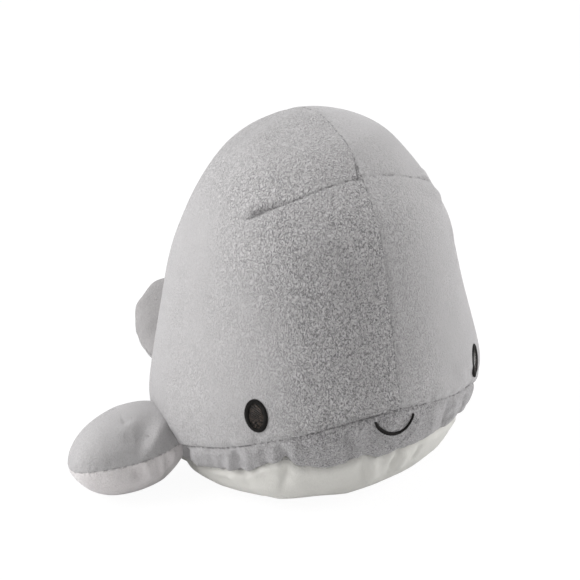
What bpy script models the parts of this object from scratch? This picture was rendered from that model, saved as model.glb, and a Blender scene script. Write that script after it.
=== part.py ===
# Plush whale: sewn panels of short-pile fabric over fibrefill, with an embroidered face.
# The whale faces -Y, its left is +X, and it sits on its flat underside at z = 0.

import math

import bmesh
import bpy
from mathutils import Euler, Matrix, Vector

# Body, in metres
BODY_HEIGHT = 0.227
BODY_HALF_WIDTH = 0.1035
BODY_FRONT_LENGTH = 0.102
BODY_BACK_LENGTH = 0.1075
BASE_CUT = 0.0005

# Cloth, stuffing and seams
FABRIC_THICKNESS = 0.0025
STUFFING_GAP = 0.0009
FLIPPER_STUFFING_GAP = 0.0009
TAIL_STUFFING_GAP = 0.0021
SEAM_GAP = 0.0004
SEAM_DEPTH = 0.0015
SEAM_ALLOWANCE = 0.006
THREAD_DIAMETER = 0.0006
THREAD_GAP = 0.0004

# Embroidery
EYE_HALF_WIDTH = 0.0076
EYE_HALF_HEIGHT = 0.0106
EYE_RIM_WIDTH = 0.0024
EYE_RIM_HEIGHT = 0.0010
EYE_FILL_HEIGHT = 0.0008
EYE_GAP = 0.0003
EYE_TURN = math.radians(9)
MOUTH_HALF_WIDTH = 0.0125
MOUTH_DEPTH = 0.0135
MOUTH_STITCH_WIDTH = 0.0020
MOUTH_STITCH_HEIGHT = 0.0008

# Flippers. Headings are measured round from the nose: the left one lies swept back.
FLIPPER_LENGTH = 0.063
FLIPPER_CHORD = 0.054
FLIPPER_THICKNESS = 0.050
FLIPPER_PIVOT_INSET = 0.0030
FLIPPER_ROLL = math.radians(4)
RIGHT_FLIPPER_GAP = 0.0004
RIGHT_FLIPPER_HEADING = math.radians(92)
RIGHT_FLIPPER_DROOP = math.radians(9)
RIGHT_FLIPPER_BEND = 0.0
LEFT_FLIPPER_GAP = 0.0036
LEFT_FLIPPER_HEADING = math.radians(120)
LEFT_FLIPPER_DROOP = math.radians(8)
LEFT_FLIPPER_BEND = 0.042

# Tail
TAIL_LENGTH = 0.060
TAIL_HALF_SPAN = 0.068
TAIL_THICKNESS = 0.042
TAIL_ROOT_GAP = 0.0007
TAIL_PIVOT_INSET = 0.0030
TAIL_RISE = math.radians(2)

# Rings of the skin from the middle of the underside up to the crown. Each row holds its step along
# the skin, its heights at front, side and back as shares of BODY_HEIGHT, then its front reach, half
# width and back reach as shares of BODY_FRONT_LENGTH, BODY_HALF_WIDTH and BODY_BACK_LENGTH.
RING_SHARES = (
    (0.00, 0.00, 0.00, 0.00, 0.00, 0.00, 0.00),
    (0.05, 0.00, 0.00, 0.00, 0.30, 0.40, 0.32),
    (0.10, 0.012, 0.014, 0.01, 0.54, 0.72, 0.57),
    (0.16, 0.08, 0.043, 0.022, 0.72, 0.82, 0.68),
    (0.22, 0.18, 0.093, 0.052, 0.84, 0.88, 0.77),
    (0.34, 0.35, 0.155, 0.135, 0.995, 0.945, 0.905),
    (0.46, 0.43, 0.24, 0.235, 0.95, 1.00, 0.985),
    (0.58, 0.595, 0.495, 0.53, 0.855, 0.87, 0.985),
    (0.70, 0.79, 0.70, 0.735, 0.72, 0.755, 0.79),
    (0.82, 0.89, 0.87, 0.89, 0.535, 0.54, 0.55),
    (0.92, 0.963, 0.95, 0.963, 0.34, 0.355, 0.31),
    (1.00, 1.00, 1.00, 1.00, 0.00, 0.00, 0.00),
)

# Places on the skin: steps up the rings, and angles round the body from the nose
BELLY_SEAM_SHARE = 0.22
JAW_SEAM_SHARE = 0.34
EYE_STEP_SHARE = 0.45
EYE_ANGLE = math.radians(46.3)
MOUTH_ANGLE = math.radians(-1.7)
MOUTH_STEP_SHARE = 0.322
FLIPPER_ANGLE = math.radians(97)
DART_START_SHARE = 0.834
DART_END_SHARE = 0.75
DART_ANGLE = math.radians(62)

# Where the side panels' lines of faces run, as shares of the skin between jaw seam and crown, and the
# same for the underside between its middle and the belly seam
SIDE_LINE_SHARES = (0.11, 0.20, 0.29, 0.38, 0.47, 0.56, 0.65, 0.74, 0.83, 0.92, 1.0)
BELLY_LINE_SHARES = (0.0, 0.25, 0.45, 0.62, 0.82)
SIDE_ANGLE_COUNT = 12
FINE_SHARE = 1e-4

# Fluke outline as the distance from its middle at each turn, from the notch between the lobes round
# to the root, as shares of TAIL_LENGTH along it and TAIL_HALF_SPAN across it
FLUKE_SHARES = (
    (0.00, 0.20, 0.00),
    (0.08, 0.28, 0.16),
    (0.18, 0.42, 0.42),
    (0.29, 0.42, 0.70),
    (0.40, 0.28, 0.92),
    (0.48, 0.10, 0.99),
    (0.56, -0.06, 1.00),
    (0.64, -0.20, 0.97),
    (0.73, -0.32, 0.84),
    (0.82, -0.39, 0.58),
    (0.91, -0.44, 0.30),
    (1.00, -0.48, 0.00),
)
FLUKE_MIDDLE_SHARE = 0.48
TAIL_CURL_SHARE = 0.62

PANEL_GREY = (0.46, 0.45, 0.45)
BAND_GREY = (0.41, 0.40, 0.40)
BELLY_WHITE = (0.82, 0.81, 0.78)
RIM_BLACK = (0.012, 0.010, 0.009)
FILL_BROWN = (0.030, 0.024, 0.020)
THREAD_GREY = (0.26, 0.255, 0.255)
STUFFING_WHITE = (0.88, 0.88, 0.86)


def clear_scene():
    """Remove every object that the file opens with."""
    for old in list(bpy.data.objects):
        bpy.data.objects.remove(old, do_unlink=True)


def make_collection(name):
    group = bpy.data.collections.new(name)
    bpy.context.scene.collection.children.link(group)
    return group


def make_material(name, colour, roughness):
    material = bpy.data.materials.new(name)
    material.use_nodes = True
    shader = material.node_tree.nodes["Principled BSDF"]
    shader.inputs["Base Color"].default_value = (*colour, 1.0)
    shader.inputs["Roughness"].default_value = roughness
    shader.inputs["Metallic"].default_value = 0.0
    material.diffuse_color = (*colour, 1.0)
    return material


def add_object(name, mesh, material, parent=None):
    """Put a mesh in the whale's collection as a named piece."""
    piece = bpy.data.objects.new(name, mesh)
    bpy.data.collections["plush_whale"].objects.link(piece)
    mesh.materials.append(material)
    mesh.shade_smooth()
    mesh.set_sharp_from_angle(angle=math.radians(50))
    piece.parent = parent
    return piece


def add_hinge(name, matrix):
    """Add an empty on a joint's axis: its X axis is the axis of the hinge."""
    hinge = bpy.data.objects.new(name, None)
    bpy.data.collections["plush_whale"].objects.link(hinge)
    hinge.matrix_world = matrix
    return hinge


def smooth_row(rows, step):
    """Read a table at a step, on a smooth curve that never overshoots its rows."""
    last = len(rows) - 2
    index = next((i for i in range(last) if step < rows[i + 1][0]), last)
    lower, upper = rows[index], rows[index + 1]
    width = upper[0] - lower[0]
    part = (step - lower[0]) / width

    def slope(i, column):
        if i in (0, len(rows) - 1):
            near = rows[1] if i == 0 else rows[-2]
            return (near[column] - rows[i][column]) / (near[0] - rows[i][0])
        before = (rows[i][column] - rows[i - 1][column]) / (rows[i][0] - rows[i - 1][0])
        after = (rows[i + 1][column] - rows[i][column]) / (rows[i + 1][0] - rows[i][0])
        return 2 * before * after / (before + after) if before * after > 0 else 0.0

    values = []
    for column in range(1, len(lower)):
        start, end = slope(index, column) * width, slope(index + 1, column) * width
        a, b = lower[column], upper[column]
        values.append(
            a * (1 + 2 * part) * (1 - part) ** 2
            + start * part * (1 - part) ** 2
            + b * part**2 * (3 - 2 * part)
            + end * part**2 * (part - 1)
        )
    return values


def form_point(angle, step):
    """Place a point of the whale's form, before its seams draw it in."""
    front, side, back, reach, width, rear = smooth_row(RING_SHARES, step)
    c, s = math.cos(angle), math.sin(angle)
    share = side + (front - back) / 2 * c + ((front + back) / 2 - side) * c * c
    forward = BODY_FRONT_LENGTH * reach if c > 0 else BODY_BACK_LENGTH * rear
    height = (BODY_HEIGHT + BASE_CUT) * share - BASE_CUT
    return Vector((BODY_HALF_WIDTH * width * s, -forward * c, height))


def form_slopes(angle, step):
    """Measure how the form runs round the body and up it, per radian and per step."""
    low, high = max(step - FINE_SHARE, 0.0), min(step + FINE_SHARE, 1.0)
    round_it = form_point(angle + FINE_SHARE, step) - form_point(angle - FINE_SHARE, step)
    up_it = form_point(angle, high) - form_point(angle, low)
    return round_it / (2 * FINE_SHARE), up_it / (high - low)


def form_normal(angle, step):
    if step <= RING_SHARES[1][0] * 0.9:
        return Vector((0, 0, -1))
    if step > 1 - 2 * FINE_SHARE:
        return Vector((0, 0, 1))
    round_it, up_it = form_slopes(angle, step)
    return round_it.cross(up_it).normalized()


def step_beside(angle, seam_share, distance):
    """Find the step that lies a distance above a seam, or below it where that is negative."""
    side = math.copysign(0.01, distance)
    run = (form_point(angle, seam_share + side) - form_point(angle, seam_share)).length
    return seam_share + distance * abs(side) / run


def drawn_in(distance):
    """Say how deep a seam draws the fabric in at a distance from it."""
    if distance >= SEAM_ALLOWANCE:
        return 0.0
    return SEAM_DEPTH * (1 - distance / SEAM_ALLOWANCE) ** 2


def seam_depth(angle, step):
    _, up_it = form_slopes(angle, step)
    away = [abs(step - seam) * up_it.length for seam in (BELLY_SEAM_SHARE, JAW_SEAM_SHARE)]
    if step > JAW_SEAM_SHARE:
        away.append(abs(form_point(angle, step).x))
    return drawn_in(min(away))


def skin_point(angle, step, depth=0.0):
    """Place a point at a depth under the skin. What would reach below the floor is pressed flat."""
    below = depth + seam_depth(angle, step)
    point = form_point(angle, step) - form_normal(angle, step) * below
    point.z = max(point.z, max(depth, 0.0))
    return point


def side_angles():
    """List the angles of one side panel's upright lines, closer together beside the centre seam."""
    near = [share * SEAM_ALLOWANCE / BODY_HALF_WIDTH for share in (0.0, 0.4, 1.0)]
    wide = math.pi - 2 * near[-1]
    middle = [near[-1] + wide * i / SIDE_ANGLE_COUNT for i in range(1, SIDE_ANGLE_COUNT)]
    return near + middle + [math.pi - angle for angle in reversed(near)]


def ring_angles():
    one_side = side_angles()
    return one_side + [-angle for angle in reversed(one_side[1:-1])]


def belly_steps(angle):
    lines = [BELLY_SEAM_SHARE * share for share in BELLY_LINE_SHARES]
    return lines + [step_beside(angle, BELLY_SEAM_SHARE, -part) for part in seam_parts()]


def band_steps(angle):
    lower = [step_beside(angle, BELLY_SEAM_SHARE, part) for part in reversed(seam_parts())]
    upper = [step_beside(angle, JAW_SEAM_SHARE, -part) for part in seam_parts()]
    return lower + [(BELLY_SEAM_SHARE + JAW_SEAM_SHARE) / 2] + upper


def side_steps(angle):
    near = [step_beside(angle, JAW_SEAM_SHARE, part) for part in reversed(seam_parts(True))]
    return near + [JAW_SEAM_SHARE + (1 - JAW_SEAM_SHARE) * share for share in SIDE_LINE_SHARES]


def seam_parts(wide=False):
    """List how far from a seam its lines of faces run, the nearest last."""
    parts = [0.4 * SEAM_ALLOWANCE, SEAM_GAP / 2]
    return [SEAM_ALLOWANCE] + parts if wide else parts


def grid_mesh(name, columns, rows, place, closed=False):
    """Map a flat grid of columns and rows to places, and merge the points that meet."""
    shape = bmesh.new()
    bmesh.ops.create_grid(shape, x_segments=columns, y_segments=rows, size=1.0)
    for vertex in shape.verts:
        column = round((vertex.co.x + 1) / 2 * columns)
        row = round((vertex.co.y + 1) / 2 * rows)
        vertex.co = place(column % columns if closed else column, row)
    bmesh.ops.remove_doubles(shape, verts=shape.verts, dist=THREAD_DIAMETER / 100)
    bmesh.ops.recalc_face_normals(shape, faces=shape.faces)
    mesh = bpy.data.meshes.new(name)
    shape.to_mesh(mesh)
    shape.free()
    return mesh


def face_outward(mesh, middle):
    """Turn an open sheet so that its faces look away from a middle point."""
    shape = bmesh.new()
    shape.from_mesh(mesh)
    sense = sum((face.calc_center_median() - middle).dot(face.normal) for face in shape.faces)
    if sense < 0:
        bmesh.ops.reverse_faces(shape, faces=shape.faces)
    shape.to_mesh(mesh)
    shape.free()


def thicken(piece, thickness, outward=False):
    """Give an open sheet its thickness, and apply it."""
    solid = piece.modifiers.new("Thickness", "SOLIDIFY")
    solid.thickness = thickness
    solid.offset = 1.0 if outward else -1.0
    bpy.context.view_layer.update()
    graph = bpy.context.evaluated_depsgraph_get()
    mesh = bpy.data.meshes.new_from_object(piece.evaluated_get(graph))
    piece.modifiers.clear()
    old = piece.data
    piece.data = mesh
    bpy.data.meshes.remove(old)
    return mesh


def add_panel(name, mesh, material, middle, parent=None, thickness=None, outward=False):
    """Make an open sheet into a panel of cloth or stitching."""
    face_outward(mesh, middle)
    piece = add_object(name, mesh, material, parent)
    thicken(piece, thickness or FABRIC_THICKNESS, outward)
    return piece


def body_middle():
    return Vector((0, 0, BODY_HEIGHT / 2))


def add_side_panel(side, material):
    """Make one side of the head and back, from the jaw seam to the crown."""
    angles = side_angles()
    sign = 1 if side == "left" else -1

    def place(column, row):
        angle = angles[column]
        point = skin_point(angle, side_steps(angle)[row])
        return Vector((sign * (point.x + SEAM_GAP / 2), point.y, point.z))

    rows = len(side_steps(0.0)) - 1
    mesh = grid_mesh(f"{side}_side_panel", len(angles) - 1, rows, place)
    piece = add_panel(f"{side}_side_panel", mesh, material, body_middle())
    for vertex in piece.data.vertices:
        vertex.co.x = sign * max(sign * vertex.co.x, SEAM_GAP / 2)


def add_ring_panel(name, material, steps):
    """Make a panel that goes all round the body between two lines of steps."""
    angles = ring_angles()

    def place(column, row):
        return skin_point(angles[column], steps(angles[column])[row])

    mesh = grid_mesh(name, len(angles), len(steps(0.0)) - 1, place, closed=True)
    return add_panel(name, mesh, material, body_middle())


def press_flat(piece, height):
    """Keep the inner face of the underside a fabric's thickness above its outer face."""
    for vertex in piece.data.vertices:
        if vertex.co.z < 0:
            vertex.co.z = height


def filling_mesh(name, columns, rings, place):
    """Map a sphere's columns and its rings, counted up from the lowest, to places."""
    shape = bmesh.new()
    bmesh.ops.create_uvsphere(shape, u_segments=columns, v_segments=rings, radius=1.0)
    for vertex in shape.verts:
        ring = round(math.acos(max(-1.0, min(1.0, -vertex.co.z))) / math.pi * rings)
        turn = math.atan2(vertex.co.y, vertex.co.x) % math.tau
        vertex.co = place(round(turn / math.tau * columns) % columns, ring)
    if shape.calc_volume(signed=True) < 0:
        bmesh.ops.reverse_faces(shape, faces=shape.faces)
    mesh = bpy.data.meshes.new(name)
    shape.to_mesh(mesh)
    shape.free()
    return mesh


def add_body_stuffing(material):
    """Fill the body: a sphere whose lines follow the panels' own lines, below the fabric."""
    angles = ring_angles()
    depth = FABRIC_THICKNESS + STUFFING_GAP

    def lines(angle):
        seams = (belly_steps(angle), band_steps(angle)[1:-1], side_steps(angle)[1:])
        return [step for part in seams for step in part]

    def place(turn, ring):
        angle = angles[turn]
        return skin_point(angle, lines(angle)[ring], depth)

    mesh = filling_mesh("body_stuffing", len(angles), len(lines(0.0)) - 1, place)
    add_object("body_stuffing", mesh, material)


def add_thread(name, points, material, closed=False, parent=None):
    """Lay a round sewing thread along points."""
    curve = bpy.data.curves.new(name, "CURVE")
    curve.dimensions = "3D"
    curve.bevel_depth = THREAD_DIAMETER / 2
    curve.bevel_resolution = 1
    curve.use_fill_caps = True
    line = curve.splines.new("POLY")
    line.points.add(len(points) - 1)
    for place, point in zip(line.points, points):
        place.co = (*point, 1.0)
    line.use_cyclic_u = closed
    thread = bpy.data.objects.new(name, curve)
    bpy.data.collections["plush_whale"].objects.link(thread)
    curve.materials.append(material)
    thread.parent = parent
    return thread


def thread_height():
    """Say how far above a seam its thread's middle lies."""
    return THREAD_DIAMETER / 2 + THREAD_GAP


def add_seam_threads(material):
    """Sew the body: centre seam, jaw seam, belly seam and the two forehead darts."""
    lift = -thread_height()
    end_gap = THREAD_DIAMETER + SEAM_GAP
    count = 22
    first = step_beside(0.0, JAW_SEAM_SHARE, end_gap + THREAD_DIAMETER)
    last = step_beside(math.pi, JAW_SEAM_SHARE, TAIL_THICKNESS / 2)
    front = [first + (1 - first) * i / count for i in range(count)]
    back = [1 - (1 - last) * i / count for i in range(count + 1)]
    path = [skin_point(0.0, step, lift) for step in front]
    path += [skin_point(math.pi, step, lift) for step in back]
    add_thread("centre_seam_thread", path, material)
    for name, seam in (("jaw_seam_thread", JAW_SEAM_SHARE), ("belly_seam_thread", BELLY_SEAM_SHARE)):
        ring = [skin_point(angle, seam, lift) for angle in ring_angles()]
        add_thread(name, ring, material, closed=True)
    for side, sign in (("left", 1), ("right", -1)):
        add_thread(f"{side}_dart_thread", dart_path(sign, lift), material)


def dart_path(sign, lift):
    """Run a dart across the forehead, from beside the centre seam down to the temple."""
    count = 12
    points = []
    for i in range(count + 1):
        part = i / count
        angle = DART_ANGLE * (0.06 + 0.94 * part)
        drop = part**1.3 * (3 - part) / 2
        step = DART_START_SHARE + (DART_END_SHARE - DART_START_SHARE) * drop
        points.append(skin_point(sign * angle, step, lift - THREAD_GAP))
    return points


def add_patch(name, rows, place, material, height):
    """Raise a closed ring of stitching off the skin by its own height."""
    count = 20
    mesh = grid_mesh(name, count, rows, lambda column, row: place(column / count, row), closed=True)
    return add_panel(name, mesh, material, body_middle(), thickness=height, outward=True)


def beside_on_skin(angle, step, across, along):
    """Find the skin's angle and step at a place on the plane that touches it at an angle and step."""
    middle = form_point(angle, step)
    round_it, up_it = form_slopes(angle, step)
    normal = round_it.cross(up_it).normalized()
    level = Vector((0, 0, 1)).cross(normal).normalized()
    rise = normal.cross(level)
    for _ in range(6):
        away = form_point(angle, step) - middle
        miss_level, miss_rise = across - away.dot(level), along - away.dot(rise)
        round_it, up_it = form_slopes(angle, step)
        area = round_it.dot(level) * up_it.dot(rise) - round_it.dot(rise) * up_it.dot(level)
        angle += (miss_level * up_it.dot(rise) - miss_rise * up_it.dot(level)) / area
        step += (miss_rise * round_it.dot(level) - miss_level * round_it.dot(rise)) / area
    return angle, step


def add_eyes(rim_material, fill_material):
    """Embroider two upright oval eyes: a satin rim round a filled middle."""

    def on_skin(sign, across, along):
        x = across * math.cos(EYE_TURN) + along * math.sin(EYE_TURN)
        z = along * math.cos(EYE_TURN) - across * math.sin(EYE_TURN)
        angle, step = beside_on_skin(EYE_ANGLE, EYE_STEP_SHARE, x, z)
        return skin_point(sign * angle, step, -EYE_GAP)

    inner = EYE_RIM_WIDTH
    fill = EYE_RIM_WIDTH + EYE_GAP
    for side, sign in (("left", 1), ("right", -1)):

        def rim_place(turn, row, sign=sign):
            inset = inner * row
            across = (EYE_HALF_WIDTH - inset) * math.cos(math.tau * turn)
            along = (EYE_HALF_HEIGHT - inset) * math.sin(math.tau * turn)
            return on_skin(sign, across, along)

        def fill_place(turn, row, sign=sign):
            part = row / 2
            across = (EYE_HALF_WIDTH - fill) * part * math.cos(math.tau * turn)
            along = (EYE_HALF_HEIGHT - fill) * part * math.sin(math.tau * turn)
            return on_skin(sign, across, along)

        add_patch(f"{side}_eye_rim", 1, rim_place, rim_material, EYE_RIM_HEIGHT)
        add_patch(f"{side}_eye_fill", 2, fill_place, fill_material, EYE_FILL_HEIGHT)


def add_mouth(material):
    """Embroider the mouth on the jaw band: a half oval of satin stitch, open at the top."""
    round_it, up_it = form_slopes(0.0, MOUTH_STEP_SHARE)
    count = 18

    def place(column, row):
        turn = math.pi * column / count
        outset = MOUTH_STITCH_WIDTH * (row - 0.5)
        across = (MOUTH_HALF_WIDTH + outset) * math.cos(turn)
        down = (MOUTH_DEPTH + outset) * math.sin(turn)
        step = MOUTH_STEP_SHARE - down / up_it.length
        return skin_point(MOUTH_ANGLE + across / round_it.length, step, -EYE_GAP)

    mesh = grid_mesh("mouth_stitching", count, 1, place)
    add_panel("mouth_stitching", mesh, material, body_middle(), None, MOUTH_STITCH_HEIGHT, True)


def pillow_normal(place, turn, reach):
    """Measure the normal of a pillow's upper face, which stands level at its edge."""
    near = min(reach, 1 - 2 * FINE_SHARE)
    if near < FINE_SHARE:
        return Vector((0, 0, 1))
    round_it = place(turn + FINE_SHARE, near) - place(turn - FINE_SHARE, near)
    out_it = place(turn, near + FINE_SHARE) - place(turn, near - FINE_SHARE)
    normal = out_it.cross(round_it).normalized()
    return normal if normal.z > 0 else -normal


def add_pillow(prefix, place, arch, turns, reaches, materials, hinge, mirrored, filling_gap):
    """Make a stuffed limb: top and bottom panels, a thread along their seam, and its stuffing."""
    cloth, thread, fibre = materials
    flip = -1 if mirrored else 1

    def outer(turn, reach, sign):
        flat = place(turn, reach)
        return Vector((flip * flat.x, flat.y, arch(flat) + sign * (flat.z + SEAM_GAP / 2)))

    for name, sign in (("top", 1), ("bottom", -1)):

        def panel_place(column, row, sign=sign):
            return outer(turns[column], reaches[row], sign)

        title = f"{prefix}_{name}_panel"
        mesh = grid_mesh(title, len(turns), len(reaches) - 1, panel_place, closed=True)
        panel = add_panel(title, mesh, cloth, Vector((0, 0, -sign)), hinge)
        for vertex in panel.data.vertices:
            level = arch(Vector((flip * vertex.co.x, vertex.co.y, 0)))
            height = max(sign * (vertex.co.z - level), SEAM_GAP / 2)
            vertex.co.z = level + sign * height

    edge = []
    for turn in turns:
        rim = place(turn, 1.0)
        away = pillow_normal(place, turn, 1.0)
        away.z = 0
        point = rim + away.normalized() * thread_height()
        edge.append(Vector((flip * point.x, point.y, arch(rim))))
    add_thread(f"{prefix}_seam_thread", edge, thread, closed=True, parent=hinge)

    depth = FABRIC_THICKNESS + filling_gap
    rings = 2 * (len(reaches) - 1)

    def filling_place(column, ring):
        turn, reach = turns[column], reaches[min(ring, rings - ring)]
        flat = place(turn, reach)
        fine = FINE_SHARE * depth
        tilt = (arch(flat + Vector((0, fine, 0))) - arch(flat)) / fine
        flat -= pillow_normal(place, turn, reach) * depth * math.hypot(1, tilt)
        sign = -1 if 2 * ring < rings else 1 if 2 * ring > rings else 0
        height = sign * max(flat.z, FABRIC_THICKNESS / 4)
        return Vector((flip * flat.x, flat.y, arch(flat) + height))

    mesh = filling_mesh(f"{prefix}_stuffing", len(turns), rings, filling_place)
    add_object(f"{prefix}_stuffing", mesh, fibre, hinge)


def flipper_place(turn, reach, bend):
    """Place a point of a flipper's upper face: x runs out from the pivot, y back, z up."""
    along = (1 - math.cos(turn) * reach) / 2
    square = 0.6 if math.cos(turn) > 0 else 0.9
    across = math.copysign(abs(math.sin(turn)) ** square, math.sin(turn)) * reach
    narrow = 0.82 + 0.18 * min(along / 0.5, 1.0)
    swell = min(0.55 + 1.4 * along, 1.0)
    height = FLIPPER_THICKNESS / 2 * max(1 - reach**2.4, 0.0) ** 0.6 * swell
    y = FLIPPER_CHORD / 2 * across * narrow + bend * along**2
    return Vector((FLIPPER_LENGTH * along - FLIPPER_PIVOT_INSET, y, height))


def add_flipper(side, gap, heading, droop, bend, materials):
    """Sew a flipper to the jaw seam, where it bends up and down about its root."""
    sign = 1 if side == "left" else -1
    root = form_point(sign * FLIPPER_ANGLE, JAW_SEAM_SHARE)
    outward = form_slopes(sign * FLIPPER_ANGLE, JAW_SEAM_SHARE)[0].cross(Vector((0, 0, 1)))
    place = Matrix.Translation(root + outward.normalized() * (gap + FLIPPER_PIVOT_INSET))
    turn = Euler((-FLIPPER_ROLL, sign * droop, sign * (heading - math.pi / 2)), "XYZ")
    hinge = add_hinge(f"{side}_flipper_hinge", place @ turn.to_matrix().to_4x4())
    turns = [math.tau * i / 20 for i in range(20)]
    reaches = (0.0, 0.35, 0.62, 0.82, 0.94, 1.0)

    def bent_place(turn_round, reach):
        return flipper_place(turn_round, reach, bend)

    form = (f"{side}_flipper", bent_place, flat_arch, turns, reaches)
    add_pillow(*form, materials, hinge, sign < 0, FLIPPER_STUFFING_GAP)


def flat_arch(flat):
    return 0.0


def fluke_place(turn, reach):
    """Place a point of the tail's upper face: x runs across, y back from the pivot, z up."""
    share = math.atan2(abs(math.sin(turn)), math.cos(turn)) / math.pi
    along, across = smooth_row(FLUKE_SHARES, share)
    side = 1 if math.sin(turn) >= 0 else -1
    x = side * TAIL_HALF_SPAN * across * reach
    y = TAIL_LENGTH * (FLUKE_MIDDLE_SHARE + along * reach) - TAIL_PIVOT_INSET
    lobe = 0.8 + 0.2 * min(2.2 * across * reach, 1.0)
    swell = lobe * min(0.36 + 1.3 * y / TAIL_LENGTH, 1.0)
    height = TAIL_THICKNESS / 2 * max(1 - reach**2.5, 0.0) ** 0.6 * swell
    return Vector((x, y, height))


def fluke_arch(flat):
    """The stock leaves the body level, and the lobes curl up."""
    part = max(0.0, (flat.y + TAIL_PIVOT_INSET) / TAIL_LENGTH)
    return TAIL_LENGTH * TAIL_CURL_SHARE * part**2


def add_tail(materials):
    """Sew the fluke to the back of the body, where it bends up and down."""
    root = form_point(math.pi, JAW_SEAM_SHARE)
    off_skin = TAIL_ROOT_GAP + TAIL_PIVOT_INSET
    place = Matrix.Translation(root + Vector((0, off_skin, 0)))
    hinge = add_hinge("tail_hinge", place @ Matrix.Rotation(TAIL_RISE, 4, "X"))
    turns = [math.tau * i / 28 for i in range(28)]
    reaches = (0.0, 0.35, 0.62, 0.82, 0.94, 1.0)
    form = ("tail", fluke_place, fluke_arch, turns, reaches)
    add_pillow(*form, materials, hinge, False, TAIL_STUFFING_GAP)


def main():
    clear_scene()
    make_collection("plush_whale")
    grey = make_material("grey_plush", PANEL_GREY, 0.95)
    band_grey = make_material("band_plush", BAND_GREY, 0.95)
    white = make_material("white_plush", BELLY_WHITE, 0.95)
    black = make_material("black_satin", RIM_BLACK, 0.45)
    brown = make_material("brown_stitch", FILL_BROWN, 0.7)
    thread = make_material("grey_thread", THREAD_GREY, 0.7)
    fibre = make_material("fibrefill", STUFFING_WHITE, 1.0)
    add_side_panel("left", grey)
    add_side_panel("right", grey)
    add_ring_panel("jaw_band", band_grey, band_steps)
    underside = add_ring_panel("belly_panel", white, belly_steps)
    press_flat(underside, 0.0)
    add_body_stuffing(fibre)
    add_seam_threads(thread)
    add_eyes(black, brown)
    add_mouth(black)
    limb = (grey, thread, fibre)
    left = (LEFT_FLIPPER_GAP, LEFT_FLIPPER_HEADING, LEFT_FLIPPER_DROOP, LEFT_FLIPPER_BEND)
    right = (RIGHT_FLIPPER_GAP, RIGHT_FLIPPER_HEADING, RIGHT_FLIPPER_DROOP, RIGHT_FLIPPER_BEND)
    add_flipper("left", *left, limb)
    add_flipper("right", *right, limb)
    add_tail(limb)


main()
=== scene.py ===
"""Looks of the sitting plush whale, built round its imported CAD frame.

Each cloth panel is a crowned sheet of short-pile plush with its seam edges tucked in. Threads and
embroidery are real stitches. The whale faces -Y and rests on its flat underside at z = 0.
"""

import logging
import math
from dataclasses import dataclass, field
from enum import Enum
from typing import Callable, Iterable, Sequence

import bmesh
import bpy
import numpy as np
from mathutils import Euler, Matrix, Vector
from mathutils.bvhtree import BVHTree


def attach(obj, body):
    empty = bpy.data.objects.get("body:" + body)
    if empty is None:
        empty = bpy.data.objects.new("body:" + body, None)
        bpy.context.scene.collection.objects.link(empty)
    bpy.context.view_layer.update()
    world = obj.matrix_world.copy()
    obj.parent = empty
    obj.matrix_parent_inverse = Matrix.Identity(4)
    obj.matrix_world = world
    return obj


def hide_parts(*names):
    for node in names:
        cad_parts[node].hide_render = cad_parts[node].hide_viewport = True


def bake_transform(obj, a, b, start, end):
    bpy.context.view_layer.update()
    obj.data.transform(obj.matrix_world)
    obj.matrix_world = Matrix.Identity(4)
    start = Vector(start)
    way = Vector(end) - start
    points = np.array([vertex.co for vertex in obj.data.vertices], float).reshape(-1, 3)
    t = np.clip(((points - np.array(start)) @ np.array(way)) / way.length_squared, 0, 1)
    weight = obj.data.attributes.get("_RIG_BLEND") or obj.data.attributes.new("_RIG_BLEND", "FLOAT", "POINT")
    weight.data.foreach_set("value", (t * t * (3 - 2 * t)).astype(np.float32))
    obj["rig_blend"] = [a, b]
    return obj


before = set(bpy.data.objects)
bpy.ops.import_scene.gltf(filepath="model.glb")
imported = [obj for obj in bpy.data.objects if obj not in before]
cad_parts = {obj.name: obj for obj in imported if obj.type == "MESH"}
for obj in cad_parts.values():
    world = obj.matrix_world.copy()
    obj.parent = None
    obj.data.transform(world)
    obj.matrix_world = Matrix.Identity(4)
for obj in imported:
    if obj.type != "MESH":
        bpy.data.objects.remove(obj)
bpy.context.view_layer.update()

LOG = logging.getLogger("plush_whale")
MM = 0.001
MIRROR = np.array([-1.0, 1.0, 1.0])
Pixels = Sequence[tuple[float, float]]
Colour = tuple[float, float, float]
Size = tuple[float, float, float]
Chart = Callable[[np.ndarray], np.ndarray]
Placing = Callable[[np.ndarray, np.ndarray], np.ndarray]


class Side(Enum):
    """The two sides of the whale. The value is the sign of x on that side."""

    LEFT = 1
    RIGHT = -1

    @property
    def word(self) -> str:
        """Give the side's name as the CAD nodes use it."""
        return self.name.lower()


class Profile(Enum):
    """How a stroke's depth falls off across its path."""

    GROOVE = "groove"
    SWELL = "swell"


def smooth(values: np.ndarray) -> np.ndarray:
    """Ease values from 0 to 1, with level ends."""
    part = np.clip(values, 0.0, 1.0)
    return part * part * (3 - 2 * part)


def unit(vectors: np.ndarray) -> np.ndarray:
    """Scale vectors to length 1."""
    return vectors / np.maximum(np.linalg.norm(vectors, axis=-1, keepdims=True), 1e-12)


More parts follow.
